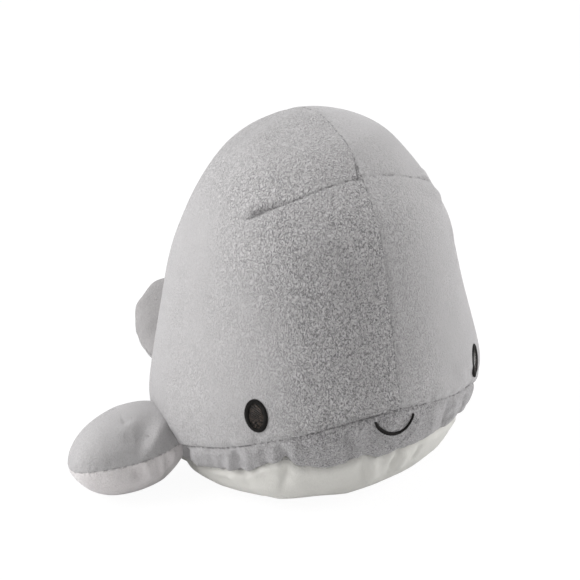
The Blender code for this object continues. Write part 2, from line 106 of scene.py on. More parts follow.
@dataclass(frozen=True)
class PhotoCamera:
    """The camera of the photograph: a square frame seen from the whale's right front."""

    azimuth: float = math.radians(-27.65)
    elevation: float = math.radians(25.39)
    distance: float = 1.003
    aim_height: float = 0.11188
    aim_shift: float = -0.01576
    focal_pixels: float = 1636.6
    frame_pixels: float = 580.0
    sensor: float = 36.0

    def axes(self) -> tuple[np.ndarray, np.ndarray, np.ndarray]:
        """Give the camera's own directions.

        Returns:
            Its right, up and back directions, each of length 1.
        """
        sa, ca = math.sin(self.azimuth), math.cos(self.azimuth)
        se, ce = math.sin(self.elevation), math.cos(self.elevation)
        back = np.array([sa * ce, -ca * ce, se])
        right = np.array([ca, sa, 0.0])
        return right, np.cross(back, right), back

    def eye(self) -> np.ndarray:
        """Place the camera."""
        right, _, back = self.axes()
        return np.array([0, 0, self.aim_height]) + right * self.aim_shift + back * self.distance

    def project(self, points: np.ndarray) -> np.ndarray:
        """Find where points fall in the frame.

        Args:
            points: places in metres, with x, y, z last.

        Returns:
            The pixels, with across and down last.
        """
        right, up, back = self.axes()
        away = points - self.eye()
        depth = -(away @ back)
        half = self.frame_pixels / 2
        across = half + self.focal_pixels * (away @ right) / depth
        down = half - self.focal_pixels * (away @ up) / depth
        return np.stack([across, down], -1)

    def set_up(self) -> None:
        """Make the scene's camera."""
        data = bpy.data.cameras.new("photo_camera")
        data.sensor_width = self.sensor
        data.lens = self.sensor * self.focal_pixels / self.frame_pixels
        camera = bpy.data.objects.new("photo_camera", data)
        bpy.context.scene.collection.objects.link(camera)
        _, _, back = self.axes()
        camera.location = Vector(self.eye())
        camera.rotation_mode = "QUATERNION"
        camera.rotation_quaternion = (-Vector(back)).to_track_quat("-Z", "Y")
        bpy.context.scene.camera = camera


@dataclass(frozen=True)
class BodyForm:
    """The stuffed body as rings of skin from the middle of the underside up to the crown."""

    height: float = 0.227
    half_width: float = 0.1035
    front: float = 0.102
    back: float = 0.1075
    base_cut: float = 0.0005
    jaw_seam: float = 0.34
    flat_step: float = 0.045
    crown_step: float = 0.999
    ring_shares: tuple[tuple[float, ...], ...] = (
        (0.00, 0.00, 0.00, 0.00, 0.00, 0.00, 0.00),
        (0.05, 0.00, 0.00, 0.00, 0.30, 0.40, 0.32),
        (0.10, 0.012, 0.014, 0.01, 0.54, 0.72, 0.57),
        (0.16, 0.08, 0.043, 0.022, 0.72, 0.82, 0.68),
        (0.22, 0.18, 0.093, 0.052, 0.84, 0.88, 0.77),
        (0.34, 0.35, 0.155, 0.135, 0.995, 0.945, 0.905),
        (0.46, 0.43, 0.24, 0.235, 0.95, 1.00, 0.985),
        (0.58, 0.595, 0.495, 0.53, 0.855, 0.87, 0.985),
        (0.70, 0.79, 0.70, 0.735, 0.72, 0.755, 0.79),
        (0.82, 0.89, 0.87, 0.89, 0.535, 0.54, 0.55),
        (0.92, 0.963, 0.95, 0.963, 0.34, 0.355, 0.31),
        (1.00, 1.00, 1.00, 1.00, 0.00, 0.00, 0.00),
    )

    def ring(self, step: np.ndarray) -> list[np.ndarray]:
        """Read the ring table on a smooth curve that never overshoots its rows.

        Args:
            step: steps up the skin.

        Returns:
            The shares of height in front, at the side and behind, then those of reach, width and rear.
        """
        rows = np.array(self.ring_shares)
        at, values = rows[:, 0], rows[:, 1:]
        secant = np.diff(values, axis=0) / np.diff(at)[:, None]
        slope = np.empty_like(values)
        slope[0], slope[-1] = secant[0], secant[-1]
        product = secant[:-1] * secant[1:]
        total = secant[:-1] + secant[1:]
        slope[1:-1] = np.where(product > 0, 2 * product / np.where(product > 0, total, 1.0), 0.0)
        index = np.clip(np.searchsorted(at, step, side="right") - 1, 0, len(at) - 2)
        width = (at[index + 1] - at[index])[..., None]
        part = ((step - at[index]) / width[..., 0])[..., None]
        low, high = values[index], values[index + 1]
        found = (
            low * (1 + 2 * part) * (1 - part) ** 2
            + slope[index] * width * part * (1 - part) ** 2
            + high * part**2 * (3 - 2 * part)
            + slope[index + 1] * width * part**2 * (part - 1)
        )
        return [found[..., i] for i in range(found.shape[-1])]

    def place(self, angle: np.ndarray, step: np.ndarray) -> np.ndarray:
        """Place points of the skin.

        Args:
            angle: angles round the body from the nose, positive to the whale's left.
            step: steps up the skin, from 0 under the belly to 1 at the crown.

        Returns:
            The points, with x, y, z last.
        """
        angle, step = np.broadcast_arrays(angle, step)
        front, side, back, reach, width, rear = self.ring(step)
        c, s = np.cos(angle), np.sin(angle)
        share = side + (front - back) / 2 * c + ((front + back) / 2 - side) * c * c
        forward = np.where(c > 0, self.front * reach, self.back * rear)
        height = (self.height + self.base_cut) * share - self.base_cut
        return np.stack([self.half_width * width * s, -forward * c, height], -1)

    def slopes(self, angle: np.ndarray, step: np.ndarray) -> tuple[np.ndarray, np.ndarray]:
        """Measure how the skin runs.

        Args:
            angle: angles round the body.
            step: steps up the skin.

        Returns:
            The runs per radian round the body and per step up it.
        """
        fine = 1e-4
        low, high = np.maximum(step - fine, 0.0), np.minimum(step + fine, 1.0)
        round_it = (self.place(angle + fine, step) - self.place(angle - fine, step)) / (2 * fine)
        up_it = (self.place(angle, high) - self.place(angle, low)) / (high - low)[..., None]
        return round_it, up_it

    def normal(self, angle: np.ndarray, step: np.ndarray) -> np.ndarray:
        """Give the skin's outward directions.

        Args:
            angle: angles round the body.
            step: steps up the skin.

        Returns:
            The directions, each of length 1.
        """
        angle, step = np.broadcast_arrays(angle, step)
        round_it, up_it = self.slopes(angle, np.clip(step, 1e-3, 1 - 1e-3))
        found = unit(np.cross(round_it, up_it))
        found = np.where((step < self.flat_step)[..., None], np.array([0.0, 0.0, -1.0]), found)
        return np.where((step > self.crown_step)[..., None], np.array([0.0, 0.0, 1.0]), found)

    def find(self, camera: PhotoCamera, pixels: Pixels) -> np.ndarray:
        """Find the angle and step of the skin that shows at pixels of the photograph.

        Args:
            camera: the photograph's camera.
            pixels: places in the frame.

        Returns:
            One row of angle and step for each pixel.
        """
        angles, steps = np.meshgrid(np.radians(np.arange(-179, 180, 2.0)), np.arange(0.03, 0.99, 0.01))
        places = self.place(angles, steps)
        toward = unit(camera.eye() - places)
        facing = np.sum(self.normal(angles, steps) * toward, -1) > 0.03
        goal = np.array(pixels, float)
        away = np.linalg.norm(camera.project(places)[facing][None] - goal[:, None], axis=-1)
        best = np.argmin(away, -1)
        return self.settle(np.stack([angles[facing][best], steps[facing][best]], -1), goal, camera.project)

    def settle(self, start: np.ndarray, goal: np.ndarray, chart: Chart) -> np.ndarray:
        """Slide points over the skin until a flat chart shows them at their goals.

        Args:
            start: rows of angle and step to start from.
            goal: the two chart coordinates wanted for each row.
            chart: what turns places into chart coordinates.

        Returns:
            The rows of angle and step found.
        """
        found = start.copy()
        fine = 1e-4
        for _ in range(10):
            here = chart(self.place(found[:, 0], found[:, 1]))
            by_angle = (chart(self.place(found[:, 0] + fine, found[:, 1])) - here) / fine
            by_step = (chart(self.place(found[:, 0], found[:, 1] + fine)) - here) / fine
            miss = goal - here
            area = by_angle[:, 0] * by_step[:, 1] - by_angle[:, 1] * by_step[:, 0]
            area = np.where(np.abs(area) < 1e-12, 1e-12, area)
            turn = (miss[:, 0] * by_step[:, 1] - miss[:, 1] * by_step[:, 0]) / area
            rise = (by_angle[:, 0] * miss[:, 1] - by_angle[:, 1] * miss[:, 0]) / area
            found[:, 0] += np.clip(turn, -0.05, 0.05)
            found[:, 1] = np.clip(found[:, 1] + np.clip(rise, -0.02, 0.02), 0.02, 0.995)
        return found

    def spread_flat(self, centre: np.ndarray, flat: np.ndarray) -> np.ndarray:
        """Find skin points by their coordinates on the plane that touches the skin at a centre.

        Args:
            centre: the centre's angle and step.
            flat: rows of distance to the whale's left and distance up.

        Returns:
            The rows of angle and step.
        """
        middle = self.place(centre[0], centre[1])
        normal = self.normal(centre[0], centre[1])
        level = unit(np.cross(np.array([0.0, 0.0, 1.0]), normal))
        axes = np.stack([level, np.cross(normal, level)], -1)
        start = np.repeat(centre[None], len(flat), 0)
        return self.settle(start, np.asarray(flat), lambda places: (places - middle) @ axes)


@dataclass(frozen=True)
class SeamLine:
    """A seam that runs round the body and wanders a little up and down."""

    base: float
    pixels: Pixels
    wander: float
    waves: tuple[tuple[int, float], ...]
    fade: float = math.radians(9)

    def table(self, form: BodyForm, camera: PhotoCamera) -> tuple[np.ndarray, np.ndarray]:
        """Give the seam's step at angles all round the body.

        Args:
            form: the body's form.
            camera: the photograph's camera.

        Returns:
            The angles and the steps.
        """
        angles = np.radians(np.arange(-180, 181, 0.5))
        free = self.base + self.wander * sum(
            np.sin(count * angles + shift) for count, shift in self.waves
        ) / len(self.waves)
        seen = form.find(camera, self.pixels)
        seen = seen[np.argsort(seen[:, 0])]
        drawn = np.interp(angles, seen[:, 0], seen[:, 1])
        before, after = angles - seen[0, 0] + self.fade, seen[-1, 0] + self.fade - angles
        inside = smooth(before / self.fade) * smooth(after / self.fade)
        mixed = free * (1 - inside) + drawn * inside
        reach = np.arange(-12, 13)
        weight = np.exp(-((reach / 4.0) ** 2))
        padded = np.concatenate([mixed[-13:-1], mixed, mixed[1:13]])
        steps = np.convolve(padded, weight / weight.sum(), mode="valid")
        return angles, steps


@dataclass(frozen=True)
class Stroke:
    """One stroke along a path in the photograph: a groove, dimple, fold or swell.

    Its depth and width are in millimetres. A negative depth goes inwards.
    """

    pixels: Pixels
    depth: float
    width: float
    strengths: tuple[float, ...] = ()
    mirrored: bool = False
    profile: Profile = Profile.SWELL

    def move(self, points: np.ndarray, path: np.ndarray) -> np.ndarray:
        """Measure how far the stroke moves points along their normals.

        Args:
            points: places of the surface, one per row.
            path: the stroke's path on the surface.

        Returns:
            One distance for each point, negative inwards.
        """
        depth, width = self.depth * MM, self.width * MM
        reach = 4 * width
        low, high = path.min(0) - reach, path.max(0) + reach
        near = np.all((points >= low) & (points <= high), -1)
        moved = np.zeros(len(points))
        if not near.any():
            return moved
        here = points[near]
        strengths = np.array(self.strengths or (1.0,) * len(path))
        nearest = np.full(len(here), 1e9)
        power = np.zeros(len(here))
        if len(path) == 1:
            nearest = np.linalg.norm(here - path[0], axis=-1)
            power[:] = strengths[0]
        for start, end, first, last in zip(path[:-1], path[1:], strengths[:-1], strengths[1:]):
            run = end - start
            part = np.clip((here - start) @ run / max(run @ run, 1e-12), 0.0, 1.0)
            gap = np.linalg.norm(here - start - part[:, None] * run, axis=-1)
            closer = gap < nearest
            nearest = np.where(closer, gap, nearest)
            power = np.where(closer, first + (last - first) * part, power)
        if self.profile is Profile.GROOVE:
            fall = np.exp(-nearest / width)
        else:
            fall = np.exp(-((nearest / width) ** 2))
        moved[near] = depth * fall * power
        return moved


class NodeBench:
    """Lays out the nodes of one material."""

    def __init__(self, name: str) -> None:
        """Start a material with its Principled shader.

        Args:
            name: the material's name.
        """
        self.material = bpy.data.materials.new(name)
        self.material.use_nodes = True
        self.tree = self.material.node_tree
        self.shader = self.tree.nodes["Principled BSDF"]
        self.column = 0

    def add(self, kind: str, values: dict | None = None, **settings: object) -> bpy.types.Node:
        """Add a node.

        Args:
            kind: the node's type, without its prefix.
            values: socket names or numbers with a value, or a socket to link from.
            settings: properties of the node.

        Returns:
            The node.
        """
        node = self.tree.nodes.new(f"ShaderNode{kind}")
        self.column -= 1
        node.location = (self.column * 40, self.column % 5 * 160)
        for key, value in settings.items():
            setattr(node, key, value)
        for key, value in (values or {}).items():
            self.feed(node.inputs[key], value)
        return node

    def feed(self, socket: bpy.types.NodeSocket, value: object) -> None:
        """Link a socket, or set its value.

        Args:
            socket: the input to feed.
            value: a socket to link from, or a plain value.
        """
        if isinstance(value, bpy.types.NodeSocket):
            self.tree.links.new(value, socket)
        else:
            socket.default_value = value

    def math(self, operation: str, first: object, second: object = 0.0) -> bpy.types.NodeSocket:
        """Add a sum and give its result."""
        return self.add("Math", {0: first, 1: second}, operation=operation).outputs[0]

    def plus(self, first: object, second: object) -> bpy.types.NodeSocket:
        """Add two values."""
        return self.math("ADD", first, second)

    def minus(self, first: object, second: object) -> bpy.types.NodeSocket:
        """Take the second value from the first."""
        return self.math("SUBTRACT", first, second)

    def times(self, first: object, second: object) -> bpy.types.NodeSocket:
        """Multiply two values."""
        return self.math("MULTIPLY", first, second)

    def noise(
        self, place: object, scale: float, detail: float, roughness: float = 0.5
    ) -> bpy.types.NodeSocket:
        """Add a noise.

        Args:
            place: where it is read.
            scale: its cells to the metre.
            detail: how many finer layers it has.
            roughness: how strong those layers are.

        Returns:
            Its value, which stays near 0.5.
        """
        values = {"Vector": place, "Scale": scale, "Detail": detail, "Roughness": roughness}
        return self.add("TexNoise", values).outputs["Fac"]

    def tint(self, colour: Colour, shade: object) -> None:
        """Give the shader a colour times a shade."""
        tinted = self.add("VectorMath", {0: colour, "Scale": shade}, operation="SCALE")
        self.feed(self.shader.inputs["Base Color"], tinted.outputs[0])

    def raise_by(self, height: object, strength: float, distance: float) -> None:
        """Give the shader a bump."""
        bump = self.add("Bump", {"Height": height, "Strength": strength, "Distance": distance})
        self.feed(self.shader.inputs["Normal"], bump.outputs[0])

    def spread(
        self, value: object, low: float, high: float, to_low: float = 0.0, to_high: float = 1.0
    ) -> bpy.types.NodeSocket:
        """Map a range of values on another, eased at its ends.

        Args:
            value: what is mapped.
            low: the value that becomes to_low.
            high: the value that becomes to_high.
            to_low: the result up to low.
            to_high: the result from high.

        Returns:
            The mapped value.
        """
        node = self.add("MapRange", {"Value": value}, interpolation_type="SMOOTHSTEP")
        for key, number in (("From Min", low), ("From Max", high), ("To Min", to_low), ("To Max", to_high)):
            node.inputs[key].default_value = number
        return node.outputs["Result"]


@dataclass(frozen=True)
class PlushFinish:
    """Short brushed pile that parts into fine curling tufts."""

    name: str
    colour: Colour
    # How strongly the pile's height shades its colour: partly its own colour, partly painted shade in the
    # partings and painted light on the tufts.
    tuft_contrast: float = 0.64
    bump: float = 1.0
    sheen: float = 0.35
    # How much painted shade darkens the needle holes along the seams.
    crease: float = 0.36
    # The next darkening is painted shade on the front middle of the face, partly for the lie of the nap,
    # fading towards the crown.
    nap_tone: float = 0.12
    nap_middle: float = -0.020
    nap_reach: float = 0.062
    crown_worn: tuple[float, float] = (0.18, 0.222)
    crown_dark: tuple[float, float] = (0.14, 0.222)
    drift_scale: float = 450.0
    drift: float = 2.0 * MM
    tuft_scale: float = 1030.0
    parting_scale: float = 640.0
    fibre_scale: float = 2400.0
    tuft_part: float = 0.32
    parting_part: float = 0.42
    fibre_part: float = 0.26
    pile_middle: float = 0.53
    pile_height: float = 0.8 * MM
    seam_reach: float = 1.2 * MM

    def pile(self, bench: NodeBench, place: bpy.types.NodeSocket) -> bpy.types.NodeSocket:
        """Brush the pile into tufts with partings between them.

        Args:
            bench: the material's nodes.
            place: where the pile is read.

        Returns:
            The pile's height, from 0 to 1.
        """
        drift = bench.add("TexNoise", {"Vector": place, "Scale": self.drift_scale, "Detail": 1.0})
        shift = bench.add("VectorMath", {0: drift.outputs["Color"], 1: (0.5, 0.5, 0.5)}, operation="SUBTRACT")
        small = bench.add("VectorMath", {0: shift.outputs[0], "Scale": self.drift}, operation="SCALE")
        bent = bench.add("VectorMath", {0: place, 1: small.outputs[0]}, operation="ADD").outputs[0]
        lengthened = bench.add("Mapping", {"Vector": bent, "Scale": (1.0, 1.0, 0.7)}).outputs[0]
        tuft = bench.spread(bench.noise(lengthened, self.tuft_scale, 1.0, 0.4), 0.36, 0.66)
        split = bench.noise(lengthened, self.parting_scale, 1.0)
        parting = bench.spread(bench.math("ABSOLUTE", bench.minus(split, 0.5)), 0.0, 0.09)
        fibre = bench.noise(bent, self.fibre_scale, 1.0)
        pile = bench.plus(bench.times(tuft, self.tuft_part), bench.times(fibre, self.fibre_part))
        return bench.plus(pile, bench.times(parting, self.parting_part))

    def worn(self, bench: NodeBench, place: bpy.types.NodeSocket) -> tuple[bpy.types.NodeSocket, ...]:
        """Rough up the pile on the middle of the face, where the whale is stroked, and darken it there with
        painted shade that fades towards the crown.

        Args:
            bench: the material's nodes.
            place: where the pile is read.

        Returns:
            How rough the pile is, and how much painted shade darkens it, partly for the lie of its nap.
        """
        spot = bench.add("SeparateXYZ", {0: place})
        from_middle = bench.math("ABSOLUTE", bench.minus(spot.outputs["X"], self.nap_middle))
        worn = bench.spread(from_middle, self.nap_reach * 0.3, self.nap_reach, 1.0, 0.22)
        worn = bench.times(worn, bench.spread(spot.outputs["Y"], 0.0, 0.05, 1.0, 0.5))
        # Painted shade: the front middle of the face darkens below the crown, partly for the lie of the nap.
        nap_and_shade = bench.times(worn, bench.spread(spot.outputs["Z"], *self.crown_dark, 1.0, 0.35))
        return bench.times(worn, bench.spread(spot.outputs["Z"], *self.crown_worn, 1.0, 0.5)), nap_and_shade

    def build(self) -> bpy.types.Material:
        """Make the material.

        Returns:
            The material, which reads Object coordinates and the piece's seam attributes.
        """
        bench = NodeBench(self.name)
        place = bench.add("TexCoord").outputs["Object"]
        pile = self.pile(bench, place)
        worn, nap_and_shade = self.worn(bench, place)
        broad, patch = bench.noise(place, 17.0, 2.0), bench.noise(place, 75.0, 3.0)
        cloudy = bench.times(bench.minus(broad, 0.5), 1.3)
        rough = bench.math("MAXIMUM", bench.math("MINIMUM", bench.plus(worn, cloudy), 1.0), 0.12)
        gap = bench.add("Attribute", attribute_name="seam_gap").outputs["Fac"]
        near = bench.spread(gap, 0.0, self.seam_reach, 1.0, 0.0)
        pit = bench.times(near, bench.spread(bench.noise(place, 430.0, 0.0), 0.44, 0.62, 0.05, 1.0))
        # The pile's height shades the colour: partly the pile's own colour, partly painted shade in the
        # partings and painted light on the tuft tops.
        depth = bench.times(rough, self.tuft_contrast * 2)
        shade = bench.plus(1.0, bench.times(bench.minus(pile, self.pile_middle), depth))
        brushed = bench.plus(bench.times(broad, 0.09), bench.times(patch, 0.10))
        shade = bench.times(shade, bench.plus(brushed, 0.905))
        # Painted shade on the front middle of the face, partly for the lie of the nap.
        shade = bench.times(shade, bench.minus(1.0, bench.times(nap_and_shade, self.nap_tone)))
        # Painted shade in the needle holes along the seams.
        shade = bench.times(shade, bench.minus(1.0, bench.times(pit, self.crease)))
        bench.tint(self.colour, shade)
        tall = bench.times(pile, bench.plus(bench.times(rough, 0.8), 0.2))
        bench.raise_by(bench.minus(tall, bench.times(pit, 0.7)), self.bump, self.pile_height)
        bench.shader.inputs["Roughness"].default_value = 0.95
        bench.shader.inputs["Specular IOR Level"].default_value = 0.15
        bench.shader.inputs["Sheen Weight"].default_value = self.sheen
        bench.shader.inputs["Sheen Roughness"].default_value = 0.4
        bench.shader.inputs["Sheen Tint"].default_value = (0.95, 0.95, 0.97, 1.0)
        return bench.material


@dataclass(frozen=True)
class ThreadFinish:
    """Twisted polyester thread with a soft shine along it."""

    name: str
    colour: Colour
    roughness: float = 0.5
    shine: float = 0.35
    speckle: float = 0.0
    fibre_scale: float = 2600.0
    speck_scale: float = 950.0
    relief: float = 0.12 * MM

    def build(self) -> bpy.types.Material:
        """Make the material.

        Returns:
            The material, which reads Object coordinates.
        """
        bench = NodeBench(self.name)
        place = bench.add("TexCoord").outputs["Object"]
        fibre = bench.noise(place, self.fibre_scale, 2.0)
        shade = bench.plus(bench.times(fibre, 1.6), 0.2)
        specks = bench.noise(place, self.speck_scale, 1.0)
        shade = bench.plus(shade, bench.spread(specks, 0.47, 0.62, -0.6 * self.speckle, 4.6 * self.speckle))
        bench.tint(self.colour, shade)
        bench.raise_by(fibre, 0.5, self.relief)
        bench.shader.inputs["Roughness"].default_value = self.roughness
        bench.shader.inputs["Specular IOR Level"].default_value = self.shine
        bench.shader.inputs["Sheen Weight"].default_value = 0.02
        return bench.material


@dataclass
class Workroom:
    """What every sub-assembly needs: the form, the camera, the seams and the finishes."""

    camera: PhotoCamera = field(default_factory=PhotoCamera)
    form: BodyForm = field(default_factory=BodyForm)
    grey: PlushFinish = PlushFinish("grey_plush_pile", (0.425, 0.415, 0.418))
    left_grey: PlushFinish = PlushFinish("left_plush_pile", (0.434, 0.424, 0.427), 0.32, 0.7)
    under_grey: PlushFinish = PlushFinish("under_plush_pile", (0.650, 0.622, 0.622), 0.24, 0.7)
    limb_grey: PlushFinish = PlushFinish("limb_plush_pile", (0.425, 0.415, 0.418), 0.24, 0.7)
    # The tail's top is a darker copy of the grey plush: painted shade for the tail behind the body.
    tail_grey: PlushFinish = PlushFinish("tail_plush_pile", (0.366, 0.355, 0.356), 0.24, 0.7)
    # The band is a darker copy of the grey plush: painted shade under the overhang of the head.
    band_grey: PlushFinish = PlushFinish("band_plush_pile", (0.395, 0.385, 0.390))
    # The off-white is partly the cloth's own colour and partly painted shade on the underside, which faces
    # away from the lamps.
    white: PlushFinish = PlushFinish("white_plush_pile", (0.655, 0.645, 0.612), 0.03, 0.3, 0.2, 0.25, 0.0)
    black: ThreadFinish = ThreadFinish("black_satin_thread", (0.005, 0.004, 0.0035), 0.5, 0.22, 0.3)
    brown: ThreadFinish = ThreadFinish("brown_tatami_thread", (0.0085, 0.0064, 0.0052), 0.6, 0.2, 1.6)
    seam_grey: ThreadFinish = ThreadFinish("grey_sewing_thread", (0.40, 0.39, 0.395), 0.7, 0.1)
    stitch_reach: float = 9 * MM
    jaw: SeamLine = SeamLine(
        0.34,
        (
            (178, 443), (200, 447), (225, 448), (240, 447), (258, 444), (300, 437), (340, 426),
            (365, 419), (400, 409), (425, 404), (440, 400), (455, 395), (470, 384),
        ),
        0.004,
        ((3, 0.4), (7, 1.9)),
    )
    belly: SeamLine = SeamLine(
        0.22,
        (
            (190, 462), (215, 470), (249, 472), (262, 466), (285, 462), (305, 467), (322, 469),
            (338, 467), (350, 463), (364, 457), (380, 459), (392, 453), (416, 444), (432, 434),
            (444, 428), (455, 415),
        ),
        0.012,
        ((9, 0.7), (14, 2.6), (5, 1.1)),
    )

    def __post_init__(self) -> None:
        """Make room for the finishes and the panels' surfaces, and build the seams' tables once."""
        self.materials: dict[str, bpy.types.Material] = {}
        self.surfaces: list[BVHTree] = []
        self.jaw_table = self.jaw.table(self.form, self.camera)
        self.belly_table = self.belly.table(self.form, self.camera)

    def jaw_step(self, angle: np.ndarray) -> np.ndarray:
        """Give the jaw seam's step at angles."""
        return np.interp(angle, *self.jaw_table)

    def belly_step(self, angle: np.ndarray) -> np.ndarray:
        """Give the belly seam's step at angles."""
        return np.interp(angle, *self.belly_table)

    def remember(self, piece: bpy.types.Object) -> None:
        """Keep a panel's surface, for what is stitched on it.

        Args:
            piece: the panel.
        """
        mesh = piece.data
        spots = np.empty(len(mesh.vertices) * 3)
        mesh.vertices.foreach_get("co", spots)
        faces = [tuple(face.vertices) for face in mesh.polygons]
        self.surfaces.append(BVHTree.FromPolygons(spots.reshape(-1, 3).tolist(), faces))

    def onto_cloth(self, places: np.ndarray, normals: np.ndarray) -> np.ndarray:
        """Drop places near the form on the cloth that lies over it.

        Args:
            places: places on the form, one per row.
            normals: the form's outward directions there.

        Returns:
            The places on the outside of the cloth.
        """
        reach, found = self.stitch_reach, []
        for spot, way in zip(places, normals):
            start = Vector(spot + way * reach)
            hits = [tree.ray_cast(start, Vector(-way), 2 * reach) for tree in self.surfaces]
            depths = [hit[3] for hit in hits if hit[0] is not None]
            found.append(spot + way * (reach - min(depths)) if depths else spot)
        return np.array(found)

    def dress(self, piece: bpy.types.Object, finish: PlushFinish | ThreadFinish) -> None:
        """Give a piece its finish, which pieces share.

        Args:
            piece: what is dressed.
            finish: its finish, whose material is made once.
        """
        if finish.name not in self.materials:
            self.materials[finish.name] = finish.build()
        piece.data.materials.clear()
        piece.data.materials.append(self.materials[finish.name])


def set_smooth(piece: bpy.types.Object) -> None:
    """Shade every face of a piece smoothly."""
    piece.data.polygons.foreach_set("use_smooth", [True] * len(piece.data.polygons))


def add_piece(name: str, places: np.ndarray, faces: Iterable[Sequence[int]]) -> bpy.types.Object:
    """Make a piece from places and faces.

    Args:
        name: the piece's name.
        places: the vertices.
        faces: the vertex numbers of each face.

    Returns:
        The piece, at the origin.
    """
    mesh = bpy.data.meshes.new(name)
    mesh.from_pydata(places.tolist(), [], [tuple(map(int, face)) for face in faces])
    piece = bpy.data.objects.new(name, mesh)
    bpy.context.scene.collection.objects.link(piece)
    return piece


@dataclass
class SheetGrid:
    """A grid of places on the outside of one sheet of cloth, which becomes a closed shell."""

    name: str
    places: np.ndarray
    seam_gap: np.ndarray
    closed: bool
    collapsed_end: bool
    centre: tuple[float, float, float]
    thickness: float = 1.4 * MM
    stride: int = 4
    merge: float = 0.001 * MM
    seam_near: float = 0.02 * MM
    fold_angle: float = math.radians(40)

    def build(self) -> bpy.types.Object:
        """Close the sheet with a coarser inner face and its rims.

        Returns:
            The piece, with its faces outwards and its distance from the seams as an attribute.
        """
        rows, columns = self.places.shape[:2]
        outer = np.arange(rows * columns).reshape(rows, columns)
        inner_rows, inner_columns = np.arange(0, rows, self.stride), np.arange(0, columns, self.stride)
        core = self.places[np.ix_(inner_rows, inner_columns)]
        toward = unit(np.array(self.centre) - core)
        core = core + toward * self.thickness
        inner = rows * columns + np.arange(core.shape[0] * core.shape[1]).reshape(core.shape[:2])
        faces = [self.quads(outer), self.quads(inner)[:, ::-1]]
        strips = self.strip(outer[0], inner[0], self.closed)
        if not self.closed:
            strips += self.strip(outer[::-1, 0], inner[::-1, 0], False)
            strips += self.strip(outer[:, -1], inner[:, -1], False)
        if not self.collapsed_end:
            strips += self.strip(outer[-1], inner[-1], self.closed)
        every = [tuple(face) for block in faces for face in block] + strips
        spots = np.concatenate([self.places.reshape(-1, 3), core.reshape(-1, 3)])
        piece = add_piece(self.name, spots, every)
        gap = piece.data.attributes.new("seam_gap", "FLOAT", "POINT")
        far = np.full(core.shape[0] * core.shape[1], 1.0)
        gap.data.foreach_set("value", np.concatenate([self.seam_gap.ravel(), far]).astype(np.float32))
        shape = bmesh.new()
        shape.from_mesh(piece.data)
        bmesh.ops.remove_doubles(shape, verts=shape.verts, dist=self.merge)
        bmesh.ops.dissolve_degenerate(shape, edges=shape.edges, dist=self.merge / 10)
        stray = [face for face in shape.faces if sum(len(edge.link_faces) == 1 for edge in face.edges) > 1]
        bmesh.ops.delete(shape, geom=stray, context="FACES")
        bmesh.ops.recalc_face_normals(shape, faces=shape.faces)
        if shape.calc_volume(signed=True) < 0:
            bmesh.ops.reverse_faces(shape, faces=shape.faces)
        layer = shape.verts.layers.float["seam_gap"]
        for edge in shape.edges:
            at_seam = max(edge.verts[0][layer], edge.verts[1][layer]) < self.seam_near
            if at_seam and len(edge.link_faces) == 2:
                edge.smooth = edge.calc_face_angle() < self.fold_angle
        shape.to_mesh(piece.data)
        shape.free()
        set_smooth(piece)
        return piece

    def quads(self, grid: np.ndarray) -> np.ndarray:
        """List the faces between a grid's rows and columns.

        Args:
            grid: the numbers of its places.

        Returns:
            Four numbers for each face.
        """
        near = grid
        if self.closed:
            near = np.concatenate([grid, grid[:, :1]], 1)
        corners = (near[:-1, :-1], near[:-1, 1:], near[1:, 1:], near[1:, :-1])
        return np.stack(corners, -1).reshape(-1, 4)

    def strip(self, fine: np.ndarray, coarse: np.ndarray, closed: bool) -> list[tuple[int, ...]]:
        """Join a fine rim to a coarse one with a fan of faces for each coarse edge.

        Args:
            fine: the place numbers of the outer rim.
            coarse: those of the inner rim, one for each stride of the outer.
            closed: whether the rims close on themselves.

        Returns:
            The faces.
        """
        if closed:
            fine, coarse = np.append(fine, fine[0]), np.append(coarse, coarse[0])
        faces = []
        for i in range(len(coarse) - 1):
            run = fine[i * self.stride : (i + 1) * self.stride + 1]
            half = len(run) // 2
            for first, second in zip(run[:half], run[1 : half + 1]):
                faces.append((int(first), int(coarse[i]), int(second)))
            faces.append((int(run[half]), int(coarse[i]), int(coarse[i + 1])))
            for first, second in zip(run[half:-1], run[half + 1 :]):
                faces.append((int(first), int(coarse[i + 1]), int(second)))
        return faces


@dataclass(frozen=True)
class SeamPull:
    """How a seam draws in the cloth beside it, and how high the cloth rolls next to that."""

    depth: float
    width: float
    roll: float

    def moves(self, distance: np.ndarray) -> np.ndarray:
        """Say how far the seam moves the cloth along its normals.

        Args:
            distance: distances from the seam.

        Returns:
            The moves, negative inwards.
        """
        pull = np.clip(1 - distance / self.width, 0.0, 1.0)
        swell = np.exp(-(((distance - 1.3 * self.width) / (0.8 * self.width)) ** 2))
        return -self.depth * pull**2 + self.roll * swell


def whole_strides(rows: np.ndarray, first: int) -> np.ndarray:
    """Drop rows until a sheet's coarse inner face fits the rest.

    Args:
        rows: the rows.
        first: the first row that may go.

    Returns:
        The rows that stay.
    """
    extra = (len(rows) - 1) % SheetGrid.stride
    return np.delete(rows, np.arange(first, first + extra), 0)


def refine(values: np.ndarray, count: int, closed: bool) -> np.ndarray:
    """Put rows between rows, on a smooth curve through them all.

    Args:
        values: the rows, along the first axis.
        count: how many steps each gap is cut into.
        closed: whether the last row leads on to the first.

    Returns:
        The rows and those between them.
    """
    if closed:
        rows = np.concatenate([values[-1:], values, values[:2]])
    else:
        rows = np.concatenate([2 * values[:1] - values[1:2], values, 2 * values[-1:] - values[-2:-1]])
    before, start, end, after = rows[:-3], rows[1:-2], rows[2:-1], rows[3:]
    between = []
    for part in np.arange(count) / count:
        line = (end - before) * part
        curve = (2 * before - 5 * start + 4 * end - after) * part**2
        turn = (3 * start - before - 3 * end + after) * part**3
        between.append(start + 0.5 * (line + curve + turn))
    found = np.stack(between, 1).reshape(-1, *values.shape[1:])
    return found if closed else np.concatenate([found, values[-1:]])


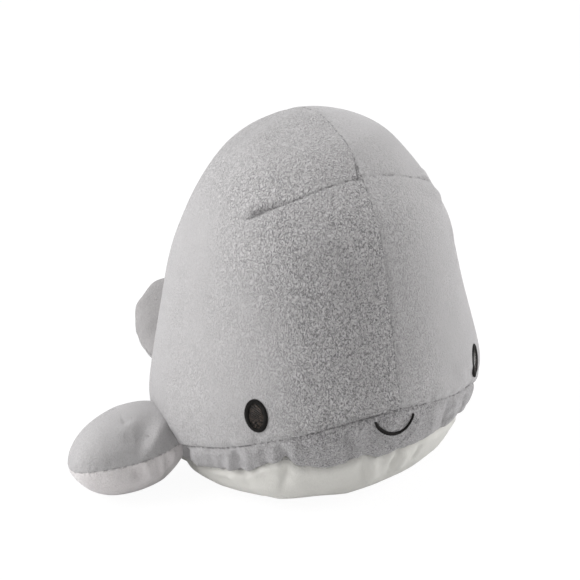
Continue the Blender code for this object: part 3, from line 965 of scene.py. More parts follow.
@dataclass(frozen=True)
class Swelling:
    """How far the stuffing presses a ring-shaped sheet of cloth, by angle round it and share across it."""

    pushes: np.ndarray
    calming: int = 4

    def at(self, angle: np.ndarray, share: np.ndarray) -> np.ndarray:
        """Read the push.

        Args:
            angle: angles round the sheet.
            share: shares across it.

        Returns:
            The pushes, with x, y, z last.
        """
        rows, columns = self.pushes.shape[:2]
        row = np.clip(share, 0.0, 1.0) * (rows - 1)
        column = (angle / math.tau) % 1.0 * columns
        low, first = np.minimum(row.astype(int), rows - 2), column.astype(int) % columns
        down, across = (row - low)[..., None], (column - np.floor(column))[..., None]
        last = (first + 1) % columns
        near = self.pushes[low, first] * (1 - across) + self.pushes[low, last] * across
        far = self.pushes[low + 1, first] * (1 - across) + self.pushes[low + 1, last] * across
        return near * (1 - down) + far * down

    def calmed(self, share: float) -> "Swelling":
        """Smooth a round sheet, and most of all its middle, where the columns of its pattern meet.

        Args:
            share: how far out the middle reaches.

        Returns:
            The smoothed swelling.
        """
        pushes = self.pushes.copy()
        for _ in range(self.calming):
            pushes = (np.roll(pushes, 1, 1) + 2 * pushes + np.roll(pushes, -1, 1)) / 4
            pushes[1:-1] = (pushes[:-2] + 2 * pushes[1:-1] + pushes[2:]) / 4
        edge = int(share * (len(pushes) - 1))
        mean = pushes[edge].mean(0)
        part = (np.arange(edge) / edge)[:, None, None] ** 2
        pushes[:edge] = mean + (pushes[edge] - mean) * part
        return Swelling(pushes)


@dataclass(frozen=True)
class Stuffing:
    """Fibrefill that presses a sheet of cloth out between its seams, worked out as a cloth simulation."""

    pressure: float = 4.0
    ease: float = 0.02
    limit: float = 5.0 * MM
    bending: float = 0.5
    frames: int = 20
    fineness: int = 3
    mass: float = 0.3
    quality: int = 5

    def press(self, name: str, place: Placing, columns: int, rows: int, held: Chart) -> Swelling:
        """Let the filling press a sheet out.

        Args:
            name: the sheet's name.
            place: what places points of the sheet at angles round it and shares across it.
            columns: how many columns of places the sheet has round it.
            rows: how many rows of places it has across it.
            held: tells which shares across the sheet are sewn or lie on the table.
        """
        angle, share = np.meshgrid(math.tau * np.arange(columns) / columns, np.linspace(0, 1, rows))
        start = place(angle, share).reshape(-1, 3)
        _, first, number = np.unique(np.round(start, 6), axis=0, return_index=True, return_inverse=True)
        grid = number.reshape(rows, columns)
        ring = np.concatenate([grid, grid[:, :1]], 1)
        quads = np.stack((ring[:-1, :-1], ring[:-1, 1:], ring[1:, 1:], ring[1:, :-1]), -1).reshape(-1, 4)
        faces = [tuple(dict.fromkeys(quad)) for quad in quads.tolist()]
        sheet = add_piece(f"{name}_pattern", start[first], [face for face in faces if len(face) > 2])
        normals = np.array([vertex.normal for vertex in sheet.data.vertices])
        if np.sum(normals * (start[first] - start.mean(0))) < 0:
            sheet.data.flip_normals()
        sewn = sheet.vertex_groups.new(name="sewn")
        fixed = sorted(set(grid[held(np.linspace(0, 1, rows))].ravel().tolist()))
        sewn.add(fixed, 1.0, "REPLACE")
        filled = sheet.modifiers.new("filled", "CLOTH")
        settings = filled.settings
        settings.vertex_group_mass = "sewn"
        settings.use_pressure = True
        settings.uniform_pressure_force = self.pressure
        settings.shrink_min = -self.ease
        settings.quality = self.quality
        settings.mass = self.mass
        settings.bending_stiffness = self.bending
        settings.effector_weights.gravity = 0.0
        filled.point_cache.frame_start, filled.point_cache.frame_end = 1, self.frames
        for moment in range(1, self.frames + 1):
            bpy.context.scene.frame_set(moment)
        shaped = sheet.evaluated_get(bpy.context.evaluated_depsgraph_get()).data
        spots = np.empty(len(shaped.vertices) * 3)
        shaped.vertices.foreach_get("co", spots)
        pushes = spots.reshape(-1, 3) - start[first]
        bpy.data.objects.remove(sheet, do_unlink=True)
        bpy.context.scene.frame_set(1)
        size = np.linalg.norm(pushes, axis=-1, keepdims=True)
        pushes = pushes * np.minimum(1.0, self.limit / np.maximum(size, 1e-9))
        mean, most = size.mean() / MM, size.max() / MM
        LOG.info("%s: pressed out %.1f mm on average, %.1f mm at most", name, mean, most)
        whole = pushes[number].reshape(rows, columns, 3)
        whole = refine(whole, self.fineness, False)
        return Swelling(refine(whole.transpose(1, 0, 2), self.fineness, True).transpose(1, 0, 2))


@dataclass
class BodyCloth:
    """The four panels of the body with their darts, gathers and folds."""

    room: Workroom
    tuck: float = 3.0 * MM
    near_seam: tuple[float, ...] = (
        0.0, 0.12 * MM, 0.4 * MM, 0.8 * MM, 1.4 * MM, 2.2 * MM, 3.2 * MM, 4.4 * MM,
    )
    slope_offset: float = 0.004
    head_jaw_pull: SeamPull = SeamPull(0.42 * MM, 3.4 * MM, 0.5 * MM)
    centre_pull: SeamPull = SeamPull(0.22 * MM, 3.0 * MM, 0.15 * MM)
    band_jaw_pull: SeamPull = SeamPull(0.42 * MM, 3.4 * MM, 0.1 * MM)
    band_belly_pull: SeamPull = SeamPull(1.8 * MM, 4.5 * MM, 0.5 * MM)
    belly_pull: SeamPull = SeamPull(1.8 * MM, 4.5 * MM, 0.4 * MM)
    head_stuffing: Stuffing = Stuffing(ease=0.012, limit=3.0 * MM)
    band_stuffing: Stuffing = Stuffing(ease=0.012, limit=1.6 * MM, bending=5.0)
    belly_stuffing: Stuffing = Stuffing(ease=0.010, limit=2.5 * MM, bending=5.0)
    head_mesh: tuple[int, int] = (140, 50)
    band_mesh: tuple[int, int] = (280, 12)
    belly_mesh: tuple[int, int] = (200, 24)
    sewn_share: float = 0.01
    resting_share: float = 0.42
    head_start: float = 1.0 * MM
    head_start_reach: float = 25.0 * MM
    side_columns: int = 321
    side_rows: int = 233
    ring_columns: int = 560
    band_rows: int = 36
    belly_rows: int = 69
    middle_gap: float = 0.02 * MM
    band_bow: float = 0.8 * MM
    band_fold_start: float = 4.0 * MM
    fold_overlap: float = 6.0 * MM
    gather_depth: float = 1.1 * MM
    gather_reach: float = 22.0 * MM
    shown_angles: tuple[float, float] = (-1.75, 0.95)
    shown_fade: float = 0.25
    face_strokes: tuple[Stroke, ...] = (
        Stroke(
            ((358, 180), (330, 188), (300, 200), (280, 207), (266, 211.5), (254, 216), (245, 222)),
            -1.2, 0.9, (0.8, 0.7, 0.75, 0.9, 1.1, 0.8, 0.0), mirrored=True, profile=Profile.GROOVE,
        ),
        Stroke(
            ((280, 207), (272, 209.5), (262, 213), (252, 218), (243, 223)),
            -2.1, 1.2, (0.0, 0.6, 1.0, 0.8, 0.0), mirrored=True,
        ),
        Stroke(
            ((280, 203), (265, 203.5), (253, 207), (245, 214)),
            1.0, 3.0, (0.2, 1.0, 1.0, 0.4), mirrored=True,
        ),
        Stroke(((280, 203), (265, 203.5), (253, 207), (245, 214)), 0.9, 3.4, (0.2, 1.0, 1.0, 0.4)),
        Stroke(((290, 214), (270, 223), (250, 232)), 1.0, 6.0, (0.3, 1.0, 0.5), mirrored=True),
        Stroke(
            ((353, 161), (357, 170), (358, 180), (360, 186)),
            -1.7, 1.1, (0.2, 1.1, 1.0, 0.0), profile=Profile.GROOVE,
        ),
        Stroke(((362, 170), (366, 180)), 0.9, 3.0, (0.6, 1.0)),
        Stroke(((296, 112), (306, 115), (318, 115.5)), -1.5, 1.5, (0.3, 1.0, 0.2)),
        Stroke(((300, 109), (318, 110.5)), 0.9, 2.4),
        Stroke(((248, 129), (258, 121), (268, 116)), -3.8, 13.0),
        Stroke(((318, 119), (334, 125)), 0.7, 4.0, (0.6, 1.0)),
        Stroke(((425, 190), (437, 197)), 1.6, 5.0, (0.5, 1.0)),
        Stroke(((447, 214), (451, 232)), 1.0, 7.0, (0.6, 1.0)),
        Stroke(((256, 415),), -0.5, 11.0, mirrored=True),
        Stroke(((300, 380),), 0.6, 18.0),
        Stroke(((388, 250), (394, 300), (398, 350)), 0.5, 4.0, (0.4, 1.0, 0.4)),
        Stroke(((183, 330), (180, 380)), -0.7, 9.0, (0.6, 1.0)),
        Stroke(((430, 380), (452, 372)), -0.8, 5.0, (0.6, 1.0)),
        Stroke(((440, 386), (462, 376)), 1.0, 4.0, (0.6, 1.0)),
    )
    band_strokes: tuple[Stroke, ...] = (
        Stroke(((187, 448), (189, 457)), -3.4, 2.6),
        Stroke(((197, 452), (201, 462)), 1.4, 3.2),
        Stroke(((213, 453), (214, 466)), -1.2, 2.6, (0.2, 1.0)),
        Stroke(((222, 454), (223, 468)), -1.5, 2.7, (0.3, 1.0)),
        Stroke(((230, 455), (231, 468)), 1.0, 2.0),
        Stroke(((237, 452), (239, 470)), -2.2, 2.9, (0.6, 1.0)),
        Stroke(((248, 453), (249, 468)), 1.1, 2.6),
        Stroke(((263, 450), (265, 462)), -1.6, 3.1, (0.5, 1.0)),
        Stroke(((273, 449), (275, 460)), 1.0, 2.4),
        Stroke(((281, 445), (284, 453), (286, 461)), -3.0, 3.1, (0.2, 1.0, 0.9)),
        Stroke(((296, 446), (299, 461)), 1.6, 4.2),
        Stroke(((318, 446), (321, 462)), 1.0, 5.0),
        Stroke(((336, 440), (337, 460)), 0.6, 3.0),
        Stroke(((348, 432), (350, 446), (351, 460)), -2.6, 2.2, (0.4, 0.9, 1.0)),
        Stroke(((360, 425), (359, 438), (360, 450)), 1.9, 3.2, (1.0, 1.0, 0.5)),
        Stroke(((381, 438), (391, 444), (399, 446)), -1.6, 2.4, (0.8, 1.0, 0.4)),
        Stroke(
            ((369, 424), (373, 434), (382, 441), (394, 443), (405, 438), (413, 428), (417, 418)),
            0.9, 1.4,
        ),
        Stroke(((392, 422),), 1.4, 6.0),
        Stroke(((446, 402), (443, 414), (441, 428)), -1.9, 2.0, (0.5, 1.0, 0.8)),
        Stroke(((432, 407), (429, 428)), 1.1, 4.0),
        Stroke(((453, 398), (450, 416)), 1.0, 2.6),
        Stroke(((463, 396), (462, 408)), -1.6, 2.0),
    )
    belly_strokes: tuple[Stroke, ...] = (
        Stroke(((286, 462), (285, 472), (283, 486)), -2.4, 2.3, (1.0, 0.9, 0.2)),
        Stroke(((266, 474), (272, 484), (282, 490)), 2.8, 15.0, (0.4, 1.0, 1.0)),
        Stroke(((298, 468), (299, 482)), 1.4, 5.0),
        Stroke(((325, 474), (322, 488)), 1.0, 8.0),
        Stroke(((345, 488), (362, 482)), 1.7, 12.0),
        Stroke(((364, 458), (364, 468), (361, 482)), -2.2, 2.4, (1.0, 0.9, 0.3)),
        Stroke(((374, 461), (372, 474)), 1.3, 3.4),
        Stroke(((398, 452), (392, 461), (384, 474)), -2.2, 2.2, (1.0, 0.9, 0.2)),
        Stroke(((404, 454), (398, 466)), 1.2, 3.2),
        Stroke(((418, 447), (412, 456)), -1.2, 2.2),
        Stroke(((205, 472), (226, 480), (240, 486)), -1.8, 4.0, (0.6, 1.0, 0.3)),
    )

    def fold_moves(self, points: np.ndarray, strokes: Sequence[Stroke]) -> np.ndarray:
        """Add up how the strokes move points.

        Args:
            points: places on the form, one per row.
            strokes: the strokes of this panel.

        Returns:
            The moves along the normals.
        """
        total = np.zeros(len(points))
        form, camera = self.room.form, self.room.camera
        for stroke in strokes:
            found = form.find(camera, stroke.pixels)
            path = form.place(found[:, 0], found[:, 1])
            total += stroke.move(points, path)
            if stroke.mirrored:
                total += stroke.move(points, path * MIRROR)
        return total

    def loose_folds(self, angle: np.ndarray, share: np.ndarray) -> np.ndarray:
        """Make soft gathers round the part of the body that the photograph doesn't show.

        Args:
            angle: angles round the body.
            share: how strong the gathers are, from 0 to 1.

        Returns:
            The moves along the normals.
        """
        first, last = self.shown_angles
        hidden = 1 - smooth((angle - first) / self.shown_fade) * smooth((last - angle) / self.shown_fade)
        waves = (
            np.sin(17 * angle + 0.8) * 0.5
            + np.sin(26 * angle + 2.1 + np.sin(3 * angle)) * 0.6
            + np.sin(39 * angle + 4.4 * np.sin(2 * angle)) * 0.35
        )
        return self.gather_depth * waves * share * hidden

    def skin(self, angle: np.ndarray, step: np.ndarray, moves: np.ndarray, pushes: np.ndarray) -> np.ndarray:
        """Place cloth off the form, pressed flat where it rests.

        Args:
            angle: angles round the body.
            step: steps up the skin.
            moves: how far the cloth lies off the form, along its normals.
            pushes: how far the stuffing presses it.

        Returns:
            The cloth's places.
        """
        places = self.room.form.place(angle, step) + self.room.form.normal(angle, step) * moves[..., None]
        places = places + pushes
        places[..., 2] = np.maximum(places[..., 2], 0.0)
        return places

    def run(self, angle: np.ndarray, step: float) -> np.ndarray:
        """Measure how far the skin runs per step up it.

        Args:
            angle: angles round the body.
            step: the step where it is measured.

        Returns:
            One length for each angle.
        """
        _, up_it = self.room.form.slopes(angle, np.full_like(angle, step))
        return np.linalg.norm(up_it, axis=-1)

    def rows_from(self, seam: np.ndarray, angle: np.ndarray, sign: float) -> np.ndarray:
        """Give the steps of the rows beside a seam.

        Args:
            seam: the seam's steps.
            angle: the angles of these.
            sign: 1 for the rows above the seam, -1 for those below it.

        Returns:
            One row of steps for each distance, nearest first.
        """
        _, up_it = self.room.form.slopes(angle, seam + sign * self.slope_offset)
        run = np.linalg.norm(up_it, axis=-1)
        return seam + sign * np.array(self.near_seam)[:, None] / run

    def half_ring(self) -> tuple[np.ndarray, np.ndarray]:
        """Lay out the columns of a side panel from the nose to the back.

        Returns:
            Their angles, and which of them are tucked edges.
        """
        near = np.array(self.near_seam) / self.room.form.half_width
        middle = np.linspace(near[-1], math.pi - near[-1], self.side_columns - 2 * len(near))[1:-1]
        angles = np.concatenate([[0.0], near, middle, math.pi - near[::-1], [math.pi]])
        tucked = np.zeros(len(angles), bool)
        tucked[[0, -1]] = True
        return angles, tucked

    def side_panel(self, side: Side) -> bpy.types.Object:
        """Sew one side of the head and back.

        Args:
            side: which side.

        Returns:
            The panel.
        """
        jaw = self.room.jaw_step
        half, tucked = self.half_ring()
        angles = half * side.value
        beside = self.rows_from(jaw(angles), angles, 1.0)
        share = np.linspace(0, 1, self.side_rows)[1:, None]
        steps = np.concatenate([beside[:1], beside, beside[-1] + (1 - beside[-1]) * share])
        angle = np.broadcast_to(angles, steps.shape)
        base = self.room.form.place(angle, steps)
        flat = base.reshape(-1, 3)
        jaw_gap = (steps - jaw(angle)) * self.run(angle, 0.36)
        centre_gap = np.abs(base[..., 0])
        moves = self.head_jaw_pull.moves(jaw_gap) + self.centre_pull.moves(centre_gap)
        moves = moves + self.fold_moves(flat, self.face_strokes).reshape(steps.shape)
        moves = moves - self.head_start * smooth(jaw_gap / self.head_start_reach)
        moves[0] -= self.tuck
        moves[:, tucked] -= self.tuck
        pushes = self.head_swelling.at(angle, (steps - jaw(angle)) / (1 - jaw(angle)))
        places = self.skin(angle, steps, moves, pushes)
        places[..., 0] = side.value * np.maximum(places[..., 0] * side.value, self.middle_gap)
        # The needle holes of the centre seam, dented and darkened with painted shade, show most on the crown
        # and least on the forehead below it.
        faint = np.where(np.abs(angle) < 1.5, 1.4 + 2.6 * smooth((0.80 - steps) / 0.06), 2.2)
        gap = np.minimum(jaw_gap, centre_gap * faint)
        gap = np.minimum(gap, self.dart_gap(flat).reshape(steps.shape))
        grid = SheetGrid(f"{side.word}_side_cloth", places, gap, False, True, (0.0, 0.0, 0.11))
        finish = self.room.left_grey if side is Side.LEFT else self.room.grey
        return self.finish(grid.build(), finish, "grey_plush", [f"{side.word}_side_panel"])

    def dart_gap(self, points: np.ndarray) -> np.ndarray:
        """Measure how far points lie from the two forehead darts.

        Args:
            points: places on the form, one per row.

        Returns:
            The distance to the nearer dart, for each point.
        """
        form, camera = self.room.form, self.room.camera
        found = form.find(camera, self.face_strokes[0].pixels[:-1])
        path = form.place(found[:, 0], found[:, 1])
        nearest = np.full(len(points), 1.0)
        for line in (path, path * MIRROR):
            for start, end in zip(line[:-1], line[1:]):
                run = end - start
                part = np.clip((points - start) @ run / (run @ run), 0.0, 1.0)
                gap = np.linalg.norm(points - start - part[:, None] * run, axis=-1)
                nearest = np.minimum(nearest, gap)
        return nearest

    def full_ring(self) -> np.ndarray:
        """Give the angles of a ring panel's columns, which close on themselves."""
        return -math.pi + math.tau * np.arange(self.ring_columns) / self.ring_columns

    def jaw_band(self) -> bpy.types.Object:
        """Sew the gathered band between the jaw seam and the belly seam.

        Returns:
            The panel.
        """
        jaw, belly, angles = self.room.jaw_step, self.room.belly_step, self.full_ring()
        low = self.rows_from(belly(angles), angles, 1.0)
        high = self.rows_from(jaw(angles), angles, -1.0)[::-1]
        share = np.linspace(0, 1, self.band_rows)[1:-1, None]
        middle = low[-1] + (high[0] - low[-1]) * share
        steps = whole_strides(np.concatenate([low[:1], low, middle, high, high[-1:]]), 12)
        angle = np.broadcast_to(angles, steps.shape)
        flat = self.room.form.place(angle, steps).reshape(-1, 3)
        run = self.run(angle, 0.28)
        jaw_gap, belly_gap = (jaw(angle) - steps) * run, (steps - belly(angle)) * run
        across = np.clip(belly_gap / (jaw_gap + belly_gap), 0, 1)
        moves = self.band_jaw_pull.moves(jaw_gap) + self.band_belly_pull.moves(belly_gap)
        moves = moves + self.band_bow * (4 * across * (1 - across))
        folds = self.fold_moves(flat, self.band_strokes).reshape(steps.shape)
        below = self.fold_moves(flat, self.belly_strokes).reshape(steps.shape)
        carried = below * (1 - smooth(belly_gap / self.fold_overlap))
        moves = moves + folds * smooth(jaw_gap / self.band_fold_start) + carried
        moves = moves + self.loose_folds(angle, smooth(1.1 - across))
        moves[[0, -1]] -= self.tuck
        gap = np.minimum(jaw_gap, belly_gap * 1.6)
        places = self.skin(angle, steps, moves, self.band_swelling.at(angle, across))
        grid = SheetGrid("jaw_band_cloth", places, gap, True, False, (0.0, 0.0, 0.06))
        # The band's darker grey is painted shade under the head.
        return self.finish(grid.build(), self.room.band_grey, "band_plush", ["jaw_band"])

    def belly(self) -> bpy.types.Object:
        """Sew the off-white underside, down to the patch that it rests on.

        Returns:
            The panel.
        """
        belly, angles = self.room.belly_step, self.full_ring()
        beside = self.rows_from(belly(angles), angles, -1.0)
        share = np.linspace(0, 1, self.belly_rows)[1:, None]
        steps = np.concatenate([beside[:1], beside, beside[-1] * (1 - share)])
        angle = np.broadcast_to(angles, steps.shape)
        flat = self.room.form.place(angle, steps).reshape(-1, 3)
        gap = (belly(angle) - steps) * self.run(angle, 0.20)
        moves = self.belly_pull.moves(gap)
        moves = moves + self.fold_moves(flat, self.belly_strokes).reshape(steps.shape)
        above = self.fold_moves(flat, self.band_strokes).reshape(steps.shape)
        moves = moves + above * (1 - smooth(gap / self.fold_overlap))
        fade = np.exp(-((gap / self.gather_reach) ** 2)) * smooth((steps - 0.09) / 0.05)
        moves = moves + self.loose_folds(angle, fade)
        moves = moves * smooth((steps - 0.03) / 0.06)
        moves[0] -= self.tuck
        places = self.skin(angle, steps, moves, self.belly_swelling.at(angle, steps / belly(angle)))
        grid = SheetGrid("belly_cloth", places, gap, True, True, (0.0, 0.0, 0.05))
        # The belly's off-white holds painted shade for the underside.
        return self.finish(grid.build(), self.room.white, "white_plush", ["belly_panel"])

    def finish(
        self, piece: bpy.types.Object, finish: PlushFinish, slot: str, nodes: list[str]
    ) -> bpy.types.Object:
        """Dress a panel and let it ride on the body.

        Args:
            piece: the panel.
            finish: its pile.
            slot: not used.
            nodes: the CAD nodes that it takes the place of.

        Returns:
            The panel.
        """
        self.room.dress(piece, finish)
        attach(piece, "body")
        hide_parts(*nodes)
        self.room.remember(piece)
        LOG.info("%s: %d faces", piece.name, len(piece.data.polygons))
        return piece

    def fill(self) -> None:
        """Let the stuffing press the head, the jaw band and the underside out between their seams."""
        form, jaw, belly = self.room.form, self.room.jaw_step, self.room.belly_step

        def wrapped(angle: np.ndarray) -> np.ndarray:
            """Turn angles from 0 to a full turn into angles round the nose."""
            return (angle + math.pi) % math.tau - math.pi

        def head(angle: np.ndarray, share: np.ndarray) -> np.ndarray:
            """Place the head's cloth."""
            seam = jaw(wrapped(angle))
            return form.place(angle, seam + (1 - seam) * share)

        def band(angle: np.ndarray, share: np.ndarray) -> np.ndarray:
            """Place the jaw band's cloth."""
            low, high = belly(wrapped(angle)), jaw(wrapped(angle))
            return form.place(angle, low + (high - low) * share)

        def underside(angle: np.ndarray, share: np.ndarray) -> np.ndarray:
            """Place the belly's cloth."""
            return form.place(angle, belly(wrapped(angle)) * share)

        low, high = self.sewn_share, 1 - self.sewn_share
        self.head_swelling = self.head_stuffing.press(
            "head", head, *self.head_mesh, lambda share: share < low
        )
        self.band_swelling = self.band_stuffing.press(
            "jaw_band", band, *self.band_mesh, lambda share: (share < low) | (share > high)
        )
        self.belly_swelling = self.belly_stuffing.press(
            "belly", underside, *self.belly_mesh,
            lambda share: (share < self.resting_share) | (share > high),
        )

    def build(self) -> None:
        """Sew the whole body."""
        self.fill()
        self.side_panel(Side.LEFT)
        right = self.side_panel(Side.RIGHT)
        self.jaw_band()
        self.belly()
        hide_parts("body_stuffing")


@dataclass
class Limb:
    """A stuffed limb: two panels sewn along their edge, swollen by stuffing."""

    room: Workroom
    name: str
    body: str
    place: Matrix
    mirrored: bool
    outline: Callable[[np.ndarray, np.ndarray, int], np.ndarray]
    arch: Callable[[np.ndarray], np.ndarray]
    nodes: tuple[str, ...]
    bend_start: Vector
    bend_end: Vector
    top_strokes: tuple[Stroke, ...] = ()
    bottom_strokes: tuple[Stroke, ...] = ()
    turns: int = 224
    reaches: int = 45
    rim_shares: tuple[float, ...] = (1.0, 1.0, 0.992, 0.982, 0.968, 0.95)
    mesh: tuple[int, int] = (84, 16)
    stuffing: Stuffing = Stuffing(ease=0.012, limit=1.3 * MM, bending=5.0)
    sewn_share: float = 0.99
    calm_share: float = 0.4
    edge_pull: SeamPull = SeamPull(0.2 * MM, 1.6 * MM, 0.1 * MM)
    pucker: float = 0.3 * MM
    pucker_start: float = 1.2 * MM
    pucker_reach: float = 4.0 * MM
    fold_start: float = 2.0 * MM
    lowest: float = 0.2 * MM
    tuck: float = 2.5 * MM
    thickness: float = 1.0 * MM
    stitch_depth: float = 0.7 * MM

    def surface(self, turn: np.ndarray, reach: np.ndarray, up: int) -> np.ndarray:
        """Place points of a panel in the row frame, before its strokes.

        Args:
            turn: angles round the panel.
            reach: shares from its middle to its edge.
            up: 1 for the top panel, -1 for the bottom one.

        Returns:
            The points, with x, y, z last.
        """
        flat = self.outline(turn, reach, up)
        x = flat[..., 0] * (-1 if self.mirrored else 1)
        z = self.arch(flat) + up * flat[..., 2]
        local = np.stack([x, flat[..., 1], z], -1)
        matrix = np.array(self.place)
        return local @ matrix[:3, :3].T + matrix[:3, 3]

    def normals(self, places: np.ndarray, up: int) -> np.ndarray:
        """Measure the outward directions of a panel's grid.

        Args:
            places: the grid, with its middle in the last row.
            up: 1 for the top panel, -1 for the bottom one.

        Returns:
            The directions, each of length 1.
        """
        along = np.roll(places, -1, 1) - np.roll(places, 1, 1)
        out = np.gradient(places, axis=0)
        found = unit(np.cross(out, along))
        away = up * np.array(self.place)[:3, 2]
        flip = np.sign(np.sum(found * away, -1).mean())
        found[-8:] = unit(found[-9].mean(0))
        return found * (flip if flip else 1.0)

    def pick(self, pixels: Pixels, places: np.ndarray, normals: np.ndarray) -> np.ndarray:
        """Find the places of the surface that show at pixels of the photograph.

        Args:
            pixels: places in the frame.
            places: the surface's grid.
            normals: its outward directions.

        Returns:
            One place for each pixel.
        """
        camera = self.room.camera
        facing = np.sum(normals * unit(camera.eye() - places), -1) > 0.05
        seen, spots = camera.project(places)[facing], places[facing]
        path = []
        for pixel in pixels:
            away = np.linalg.norm(seen - np.array(pixel), axis=-1)
            best = np.argsort(away)[:6]
            weight = 1 / (away[best] + 0.2)
            path.append((spots[best] * weight[:, None]).sum(0) / weight.sum())
        return np.array(path)

    def grid(self) -> tuple[np.ndarray, np.ndarray]:
        """Lay out a panel's grid, with its rows close together beside the edge.

        Returns:
            The turns and the reaches of its places.
        """
        turn = math.tau * np.arange(self.turns) / self.turns
        rim = np.array(self.rim_shares)
        inner = np.linspace(rim[-1], 0.0, self.reaches - len(rim) + 1)[1:]
        return np.meshgrid(turn, whole_strides(np.concatenate([rim, inner]), 10))

    def puckers(self, turns: np.ndarray, rim: np.ndarray, up: int) -> np.ndarray:
        """Pucker the cloth beside the edge seam.

        Args:
            turns: angles round the panel.
            rim: distances from the seam.
            up: 1 for the top panel, -1 for the bottom one.

        Returns:
            The moves along the normals.
        """
        waves = np.sin(31 * turns + 1.3 * np.sin(5 * turns)) * 0.6 + np.sin(47 * turns + 2.1 * up) * 0.4
        return self.pucker * waves * smooth(rim / self.pucker_start) * np.exp(-rim / self.pucker_reach)

    def panel(self, word: str, up: int) -> bpy.types.Object:
        """Sew the top or the bottom panel.

        Args:
            word: the panel's name, top or bottom.
            up: 1 for the top panel, -1 for the bottom one.

        Returns:
            The panel.
        """
        turns, reaches = self.grid()
        filled = self.stuffing.press(
            f"{self.name}_{word}", lambda angle, share: self.surface(angle, share, up),
            *self.mesh, lambda share: share > self.sewn_share,
        ).calmed(self.calm_share)
        places = self.surface(turns, reaches, up) + filled.at(turns, reaches)
        normals = self.normals(places, up)
        rim = np.linalg.norm(places - places[1][None], axis=-1)
        moves = self.edge_pull.moves(rim) + self.puckers(turns, rim, up)
        flat = places.reshape(-1, 3)
        for stroke in self.top_strokes if up > 0 else self.bottom_strokes:
            path = self.pick(stroke.pixels, places, normals)
            moves = moves + stroke.move(flat, path).reshape(moves.shape) * smooth(rim / self.fold_start)
        places = places + normals * moves[..., None]
        places[..., 2] = np.maximum(places[..., 2], self.lowest)
        places[-1] = places[-1].mean(0)
        places[0] = places[1] + unit(places.reshape(-1, 3).mean(0) - places[0]) * self.tuck
        centre = tuple(flat.mean(0).tolist())
        name = f"{self.name}_{word}_cloth"
        piece = SheetGrid(name, places, rim, True, True, centre, self.thickness).build()
        finishes = (self.room.limb_grey, self.room.under_grey)
        # The tail's top takes the darker grey, which is painted shade.
        if self.body == "tail":
            finishes = (self.room.tail_grey, self.room.left_grey)
        self.room.dress(piece, finishes[up < 0])
        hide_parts(*[node for node in self.nodes if word in node or (up > 0 and "stuffing" in node)])
        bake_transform(piece, "body", self.body, self.bend_start, self.bend_end)
        LOG.info("%s: %d faces", piece.name, len(piece.data.polygons))
        return piece

    def edge_line(self) -> np.ndarray:
        """Give the line of the edge seam, sunk in the cloth.

        Returns:
            Its places, which close on themselves.
        """
        turn = math.tau * np.arange(400) / 400
        rim, near = self.surface(turn, np.ones_like(turn), 1), np.full_like(turn, 0.9)
        inner = self.surface(turn, near, 1) + self.surface(turn, near, -1)
        return rim - unit(rim - inner / 2) * self.stitch_depth

    def build(self) -> None:
        """Sew both panels and the edge."""
        self.panel("top", 1)
        self.panel("bottom", -1)
        piece = ThreadWork(self.room, f"{self.name}_edge_stitches", self.edge_line(), True).build()
        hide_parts(f"{self.name}_seam_thread")
        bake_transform(piece, "body", self.body, self.bend_start, self.bend_end)


def run_of(line: np.ndarray) -> np.ndarray:
    """Measure how far along a line each of its places lies."""
    return np.concatenate([[0.0], np.cumsum(np.linalg.norm(np.diff(line, axis=0), axis=-1))])


def places_at(at: np.ndarray, line: np.ndarray) -> np.ndarray:
    """Find the places at distances along a line."""
    return np.stack([np.interp(at, run_of(line), row) for row in line.T], -1)


def unit_stitch() -> tuple[np.ndarray, list[tuple[int, ...]]]:
    """Model one stitch of thread: a bead of unit length, width and height, with full ends.

    Returns:
        Its places and its faces.
    """
    bpy.ops.object.select_all(action="DESELECT")
    bpy.ops.mesh.primitive_uv_sphere_add(segments=8, ring_count=6, radius=0.5, rotation=(0, math.pi / 2, 0))
    stitch = bpy.context.object
    bpy.ops.object.transform_apply(location=True, rotation=True, scale=True)
    places = np.array([vertex.co for vertex in stitch.data.vertices])
    places[:, 0] = np.sign(places[:, 0]) * np.abs(places[:, 0] * 2) ** 0.6 / 2
    faces = [tuple(face.vertices) for face in stitch.data.polygons]
    bpy.data.objects.remove(stitch, do_unlink=True)
    return places, faces


@dataclass
class StitchBatch:
    """Copies of one stitch, each with its own place, direction and size, as one piece."""

    name: str
    spots: list[np.ndarray] = field(default_factory=list)
    frames: list[np.ndarray] = field(default_factory=list)

    def lay(self, spot: np.ndarray, along: np.ndarray, up: np.ndarray, size: Size) -> None:
        """Lay one stitch.

        Args:
            spot: its middle.
            along: its direction.
            up: the direction off the cloth.
            size: its length, width and height.
        """
        along = unit(along)
        side = unit(np.cross(up, along))
        rise = np.cross(along, side)
        self.spots.append(spot)
        self.frames.append(np.stack([along * size[0], side * size[1], rise * size[2]]))

    def build(self) -> bpy.types.Object:
        """Copy the stitch to every place and join the copies.

        Returns:
            The piece.
        """
        places, faces = unit_stitch()
        every = np.concatenate([places @ axes + spot for spot, axes in zip(self.spots, self.frames)])
        count = len(places)
        joined = [tuple(i + count * copy for i in face) for copy in range(len(self.spots)) for face in faces]
        piece = add_piece(self.name, every, joined)
        set_smooth(piece)
        return piece


